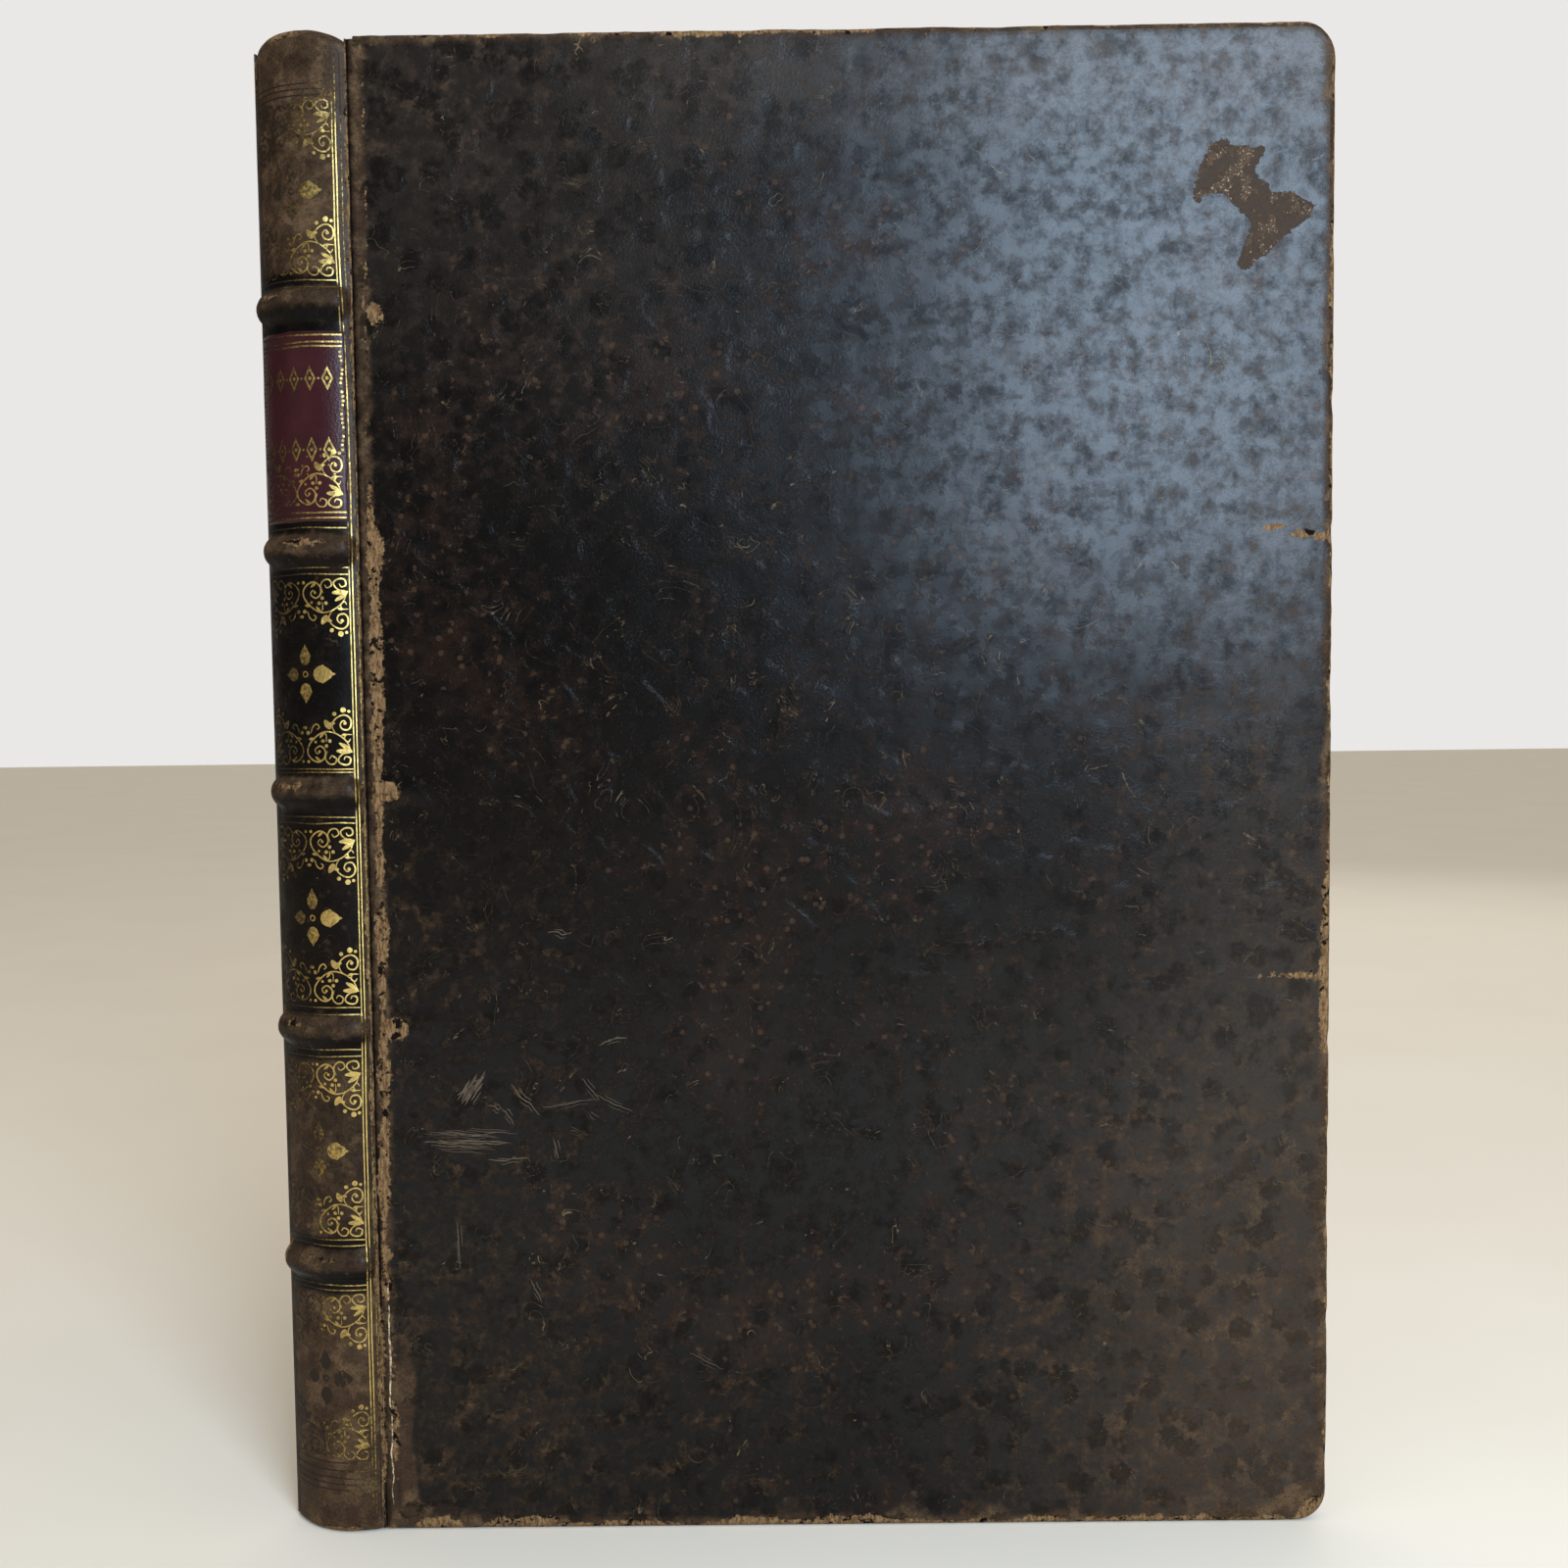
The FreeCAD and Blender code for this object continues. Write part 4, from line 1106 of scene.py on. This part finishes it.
def scratch_cover():
    scratches = Strokes()
    for number, (u0, z0, u1, z1, width) in enumerate(SCRATCHES):
        share = np.linspace(0, 1, 24)
        bend = 0.5 * wander(share * 3, 0, 1, 200 + number) + 0.2 * wander(share * 9, 0, 1, 230 + number)
        line = stacked(u0 + (u1 - u0) * share, z0 + (z1 - z0) * share + bend)
        scratches.ribbon(line, width * 0.75)
        scratches.ribbon(line[3:15] + (0.5 + width, 0.4), width * 0.5)
        scratches.ribbon(line[8:20] - (0.3, 0.8), width * 0.4)
    # A brushed band of fine strokes, and a scuff above it
    for number in range(26):
        place, slope, reach = (float(wander(number + 0.5, 0, 1, seed)) for seed in (251, 252, 253))
        run = np.linspace(-1, 1, 12) * (3.5 + 2.5 * reach)
        line = stacked(20 + 9 * place + run, 89 + 3.4 * slope - 0.07 * run + 0.1 * np.sin(run))
        scratches.ribbon(line, 0.10 + 0.05 * reach)
        line = stacked(21.5 + 2.6 * slope + 0.28 * run, 100.5 + 2.8 * place + 0.42 * run)
        scratches.ribbon(line, 0.18 + 0.1 * reach)
    scratches.build("front_cover_scratches", on_front, lambda u, z: cover_relief(u, z, True) - 0.03,
                    scratched(), "front_cover", "cover_calf")


scratch_cover()


def cracked_joint():
    """The pale line where the leather has cracked along the foot of the front joint."""
    crack = Strokes()
    for low, high, width in ((10, 27, 0.36), (28, 52, 0.46), (6, 11, 0.25), (53, 57, 0.3)):
        z = np.linspace(low, high, 60)
        u = COVER_CUT + 0.5 + 0.2 * wander(z, 0, 3, 261) + 0.12 * wander(z, 0, 0.9, 262)
        crack.ribbon(stacked(u, z), width)
    crack.build("front_joint_crack", on_front, lambda u, z: cover_relief(u, z, True) - 0.04, torn_fibres(),
                "front_cover", "cover_calf")


cracked_joint()


# Leaves

def text_block():
    """The leaves as one piece: fanned at the shoulders, with slightly uneven edges."""
    slope = SHOULDER_RUN / BLOCK_REACH
    across = np.concatenate([np.linspace(0, slope, 4)[:-1], np.linspace(slope, 1, 64)])
    p, q = np.meshgrid(across, np.linspace(-1, 1, 97), indexing="ij")
    back_x = SPINE_DEPTH - BLOCK_RADIUS * np.cos(SPINE_ANGLE * q)
    back_y = MIDDLE + BLOCK_RADIUS * np.sin(SPINE_ANGLE * q)
    flare = unit(1 - p / slope)
    fore = BLOCK_REACH - FORE_HOLLOW * (1 - q**2) + 0.16 * wander(q * 40, 0, 1, 171)
    x = back_x + p * (fore - back_x)
    y = (MIDDLE + q * BLOCK_THICKNESS / 2) * (1 - flare) + back_y * flare
    head = BLOCK_HEAD - 0.1 + 0.14 * wander(q * 48, p * 2, 1, 181)
    foot = BLOCK_FOOT + 0.1 - 0.14 * wander(q * 48, p * 2, 1, 183)
    points, faces, places, kinds, tones = [], [], [], [], []
    count = 0

    def sheet(x, y, z, kind, backward):
        nonlocal count
        grid = grid_faces(*x.shape, first=count)
        faces.append(grid[:, ::-1] if backward else grid)
        kinds.append(np.full(len(grid), kind))
        points.append(in_part(x, y, z).reshape(-1, 3))
        places.append((stacked(x, z, y) if kind else stacked(x, y, z)).reshape(-1, 3))
        edge = np.minimum(np.minimum(z - BLOCK_FOOT, BLOCK_HEAD - z), BLOCK_REACH - x)
        tones.append((0.7 * smooth(-edge, -9, 0)).ravel())
        count += x.size

    sheet(x, y, head, 0, False)
    sheet(x, y, foot, 0, True)
    rise = np.linspace(0, 1, 60)
    for side, kind, backward in ((np.s_[-1], 0, False), (np.s_[0], 0, True),
                                 (np.s_[:, 0], 1, False), (np.s_[:, -1], 1, True)):
        low, high = foot[side][:, None], head[side][:, None]
        sheet(x[side][:, None] + 0 * rise, y[side][:, None], low + (high - low) * rise, kind, backward)
    piece = make_piece("text_block_leaves", np.concatenate(points), [LEAF_EDGES, ENDPAPER], "leaves",
                       "text_and_spine", "text_block", np.concatenate(faces),
                       place=np.concatenate(places), tone=np.concatenate(tones))
    piece.data.polygons.foreach_set("material_index", np.concatenate(kinds))


text_block()


def pastedown(side):
    """Paper pasted inside a cover, with softly waved edges."""
    front = side == "front"
    margin = BLOCK_FOOT
    u, z = np.meshgrid(np.linspace(1.5, COVER_WIDTH - margin, 90),
                       np.linspace(margin, COVER_HEIGHT - margin, 130), indexing="ij")
    edge = from_edge(u, z) - margin
    waved = 0.25 * wander(u, z, 14, 191) * smooth(-edge, -2, 0)
    u, z = u + waved * (u > 100), z + waved * 0.8
    ridge = smooth(TURN_IN + 1 - from_edge(u, z), 0, 2)
    depth = COVER_THICKNESS + 0.14 + 0.10 * ridge + 0.03 * wander(u, z, 12, 193)
    tone = 0.8 * smooth(-edge, -10, 0) + 0.25 * ridge
    make_piece(f"{side}_pastedown_paper", PLACES[side](u, z, depth), ENDPAPER, "endpaper", f"{side}_cover",
               f"{side}_pastedown", thickness=0.12, flip=front,
               place=stacked(u + (0 if front else OTHER_SHEET), z, depth), tone=unit(tone))


for side in PLACES:
    pastedown(side)


def paper_hinge(side):
    """The fold of the endpaper, from the inside of a cover to the first leaf."""
    front = side == "front"
    z = np.linspace(BLOCK_FOOT, BLOCK_HEAD, 60)
    face = MIDDLE - BLOCK_THICKNESS / 2
    depth = COVER_THICKNESS + 0.2
    leaf = in_part(FOLD_GLUED, face - 0.05 if front else BOOK_THICKNESS - face + 0.05, z)
    board = PLACES[side](FOLD_GLUED, z, depth)
    crease = np.array([*(FRONT_CREASE if front else BACK_CREASE), 0]) * MM
    first, last = leaf[0] - crease, board[0] - crease
    turn = np.linspace(np.arctan2(first[1], first[0]), np.arctan2(last[1], last[0]), 13)[:, None]
    reach = np.linspace(np.hypot(first[0], first[1]), np.hypot(last[0], last[1]), 13)[:, None]
    points = stacked(crease[0] + reach * np.cos(turn), crease[1] + reach * np.sin(turn), z * MM)
    place = stacked(np.linspace(0, 6, 13)[:, None], z, 0)
    piece = make_piece(f"{side}_endpaper_fold", points, ENDPAPER, "endpaper", place=place, tone=0.35)
    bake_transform(piece)


for side in PLACES:
    paper_hinge(side)


# Endbands, boards and cords

def endband(end):
    """Thread wound round a core, in two colours, along the spine's arc."""
    low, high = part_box(f"{end}_endband")
    radius = (high.z - low.z) / 2 / MM
    level = (high.z + low.z) / 2 / MM
    ring = BLOCK_RADIUS - radius
    reach = radians(27)
    pitch = 0.8
    turns = 2 * reach * ring / pitch
    a, b = np.meshgrid(np.linspace(-reach, reach, round(turns * 8)), np.linspace(0, 2 * pi, 15),
                       indexing="ij")
    winding = (a + reach) / (2 * reach) * turns + b / (2 * pi) * 0.4
    ridge = np.abs(np.sin(pi * winding))
    size = radius * (0.84 + 0.14 * ridge) * np.sqrt(np.clip(1 - (np.abs(a) / reach) ** 14, 0.02, 1))
    reach_out = ring + size * np.cos(b)
    x, y = SPINE_DEPTH - reach_out * np.cos(a), MIDDLE + reach_out * np.sin(a)
    z = level + size * np.sin(b)
    tone = ((winding % 4) < 2).astype(float)
    make_piece(f"{end}_endband_thread", in_part(x, y, z), THREAD, "endband_thread", "text_and_spine",
               f"{end}_endband", weld=True, place=stacked(x, y, z), tone=tone)


endband("head")
endband("tail")

for name, node in frame["nodes"].items():
    for word, material, slot in (("_board", PASTEBOARD, "pasteboard"), ("cord", HEMP, "hemp_cord")):
        if word in name:
            node.data.materials.clear()
            node.data.materials.append(material)


# Stage, light and camera

def stage():
    mesh = bpy.data.meshes.new("floor")
    corners = [(4 * x, 4 * y, 0) for x, y in ((-1, -1), (1, -1), (1, 1), (-1, 1))]
    mesh.from_pydata(corners, [], [(0, 1, 2, 3)])
    floor = bpy.data.objects.new("floor", mesh)
    bpy.context.scene.collection.objects.link(floor)
    shade = Shade("floor", "3D", bare=True)
    colour = shade.noise(90, 2).mix(rgb(222, 214, 200), rgb(228, 221, 208))
    mesh.materials.append(shade.finish(Base_Color=colour, Roughness=0.7))


def area_lamp(name, place, target, size, radiance, colour):
    """A soft lamp given by its radiance, in watts per square metre and steradian."""
    data = bpy.data.lights.new(name, "AREA")
    data.shape = "RECTANGLE"
    data.size, data.size_y = size
    data.energy = radiance * pi * size[0] * size[1]
    data.color = colour
    lamp = bpy.data.objects.new(name, data)
    lamp.location = place
    lamp.rotation_euler = (Vector(target) - Vector(place)).to_track_quat("-Z", "Y").to_euler()
    bpy.context.scene.collection.objects.link(lamp)


def world():
    """Low even light, with a pale background for the eye and for reflections."""
    surroundings = bpy.data.worlds.new("studio")
    bpy.context.scene.world = surroundings
    surroundings.use_nodes = True
    nodes = Nodes(surroundings.node_tree)
    up_the_room = nodes.node("SeparateXYZ", "Y", {0: nodes.node("TexCoord", "Generated")})
    room = up_the_room.step(0.3, 0.95, To_Min=0.05, To_Max=0.8)

    def pick(ray, first, second):
        share = nodes.node("LightPath", f"Is {ray} Ray")
        return nodes.node("Mix", 0, {0: share, 2: first, 3: second}, data_type="FLOAT")

    strength = pick("Camera", pick("Transmission", pick("Glossy", 0.66, room), room), 0.82)
    tint = nodes.node("LightPath", "Is Camera Ray").mix((1.0, 0.94, 0.85, 1), (1.0, 0.985, 0.965, 1))
    background = nodes.tree.nodes["Background"]
    nodes.feed(background.inputs["Color"], tint)
    nodes.feed(background.inputs["Strength"], strength)


# The camera's place, in millimetres, solved from the front cover's four corners in the photo
EYE = (-11.94, -367.52, 189.43)


def camera():
    data = bpy.data.cameras.new("camera")
    data.lens = 38.25
    data.sensor_width = 36
    data.clip_start, data.clip_end = 0.01, 50
    yaw, pitch, roll = radians(-0.35), radians(3.38), radians(-0.72)
    forward = Vector((sin(yaw) * cos(pitch), cos(yaw) * cos(pitch), -sin(pitch)))
    level = Vector((cos(yaw), -sin(yaw), 0))
    upright = level.cross(forward)
    right = cos(roll) * level + sin(roll) * upright
    up = cos(roll) * upright - sin(roll) * level
    eye = bpy.data.objects.new("camera", data)
    turn = Matrix((right, up, -forward)).transposed().to_4x4()
    eye.matrix_world = Matrix.Translation(Vector(EYE) * MM) @ turn
    bpy.context.scene.collection.objects.link(eye)
    bpy.context.scene.camera = eye


stage()
world()
area_lamp("window", (0.205, -0.60, 0.42), (0.02, 0, 0.2), (0.25, 0.38), 23, (0.62, 0.79, 1.0))
area_lamp("ceiling", (-0.1, -0.25, 1.1), (0, 0.05, 0.15), (0.9, 0.9), 0.75, (1.0, 0.94, 0.84))
area_lamp("room", (-0.9, -0.7, 0.5), (-0.05, 0, 0.15), (0.7, 0.7), 0.3, (1.0, 0.93, 0.82))
area_lamp("far_side", (0.5, 1.0, 0.7), (0, 0.05, 0.15), (0.8, 0.8), 1.0, (1.0, 0.96, 0.9))
camera()
bpy.context.scene.view_settings.view_transform = "Standard"
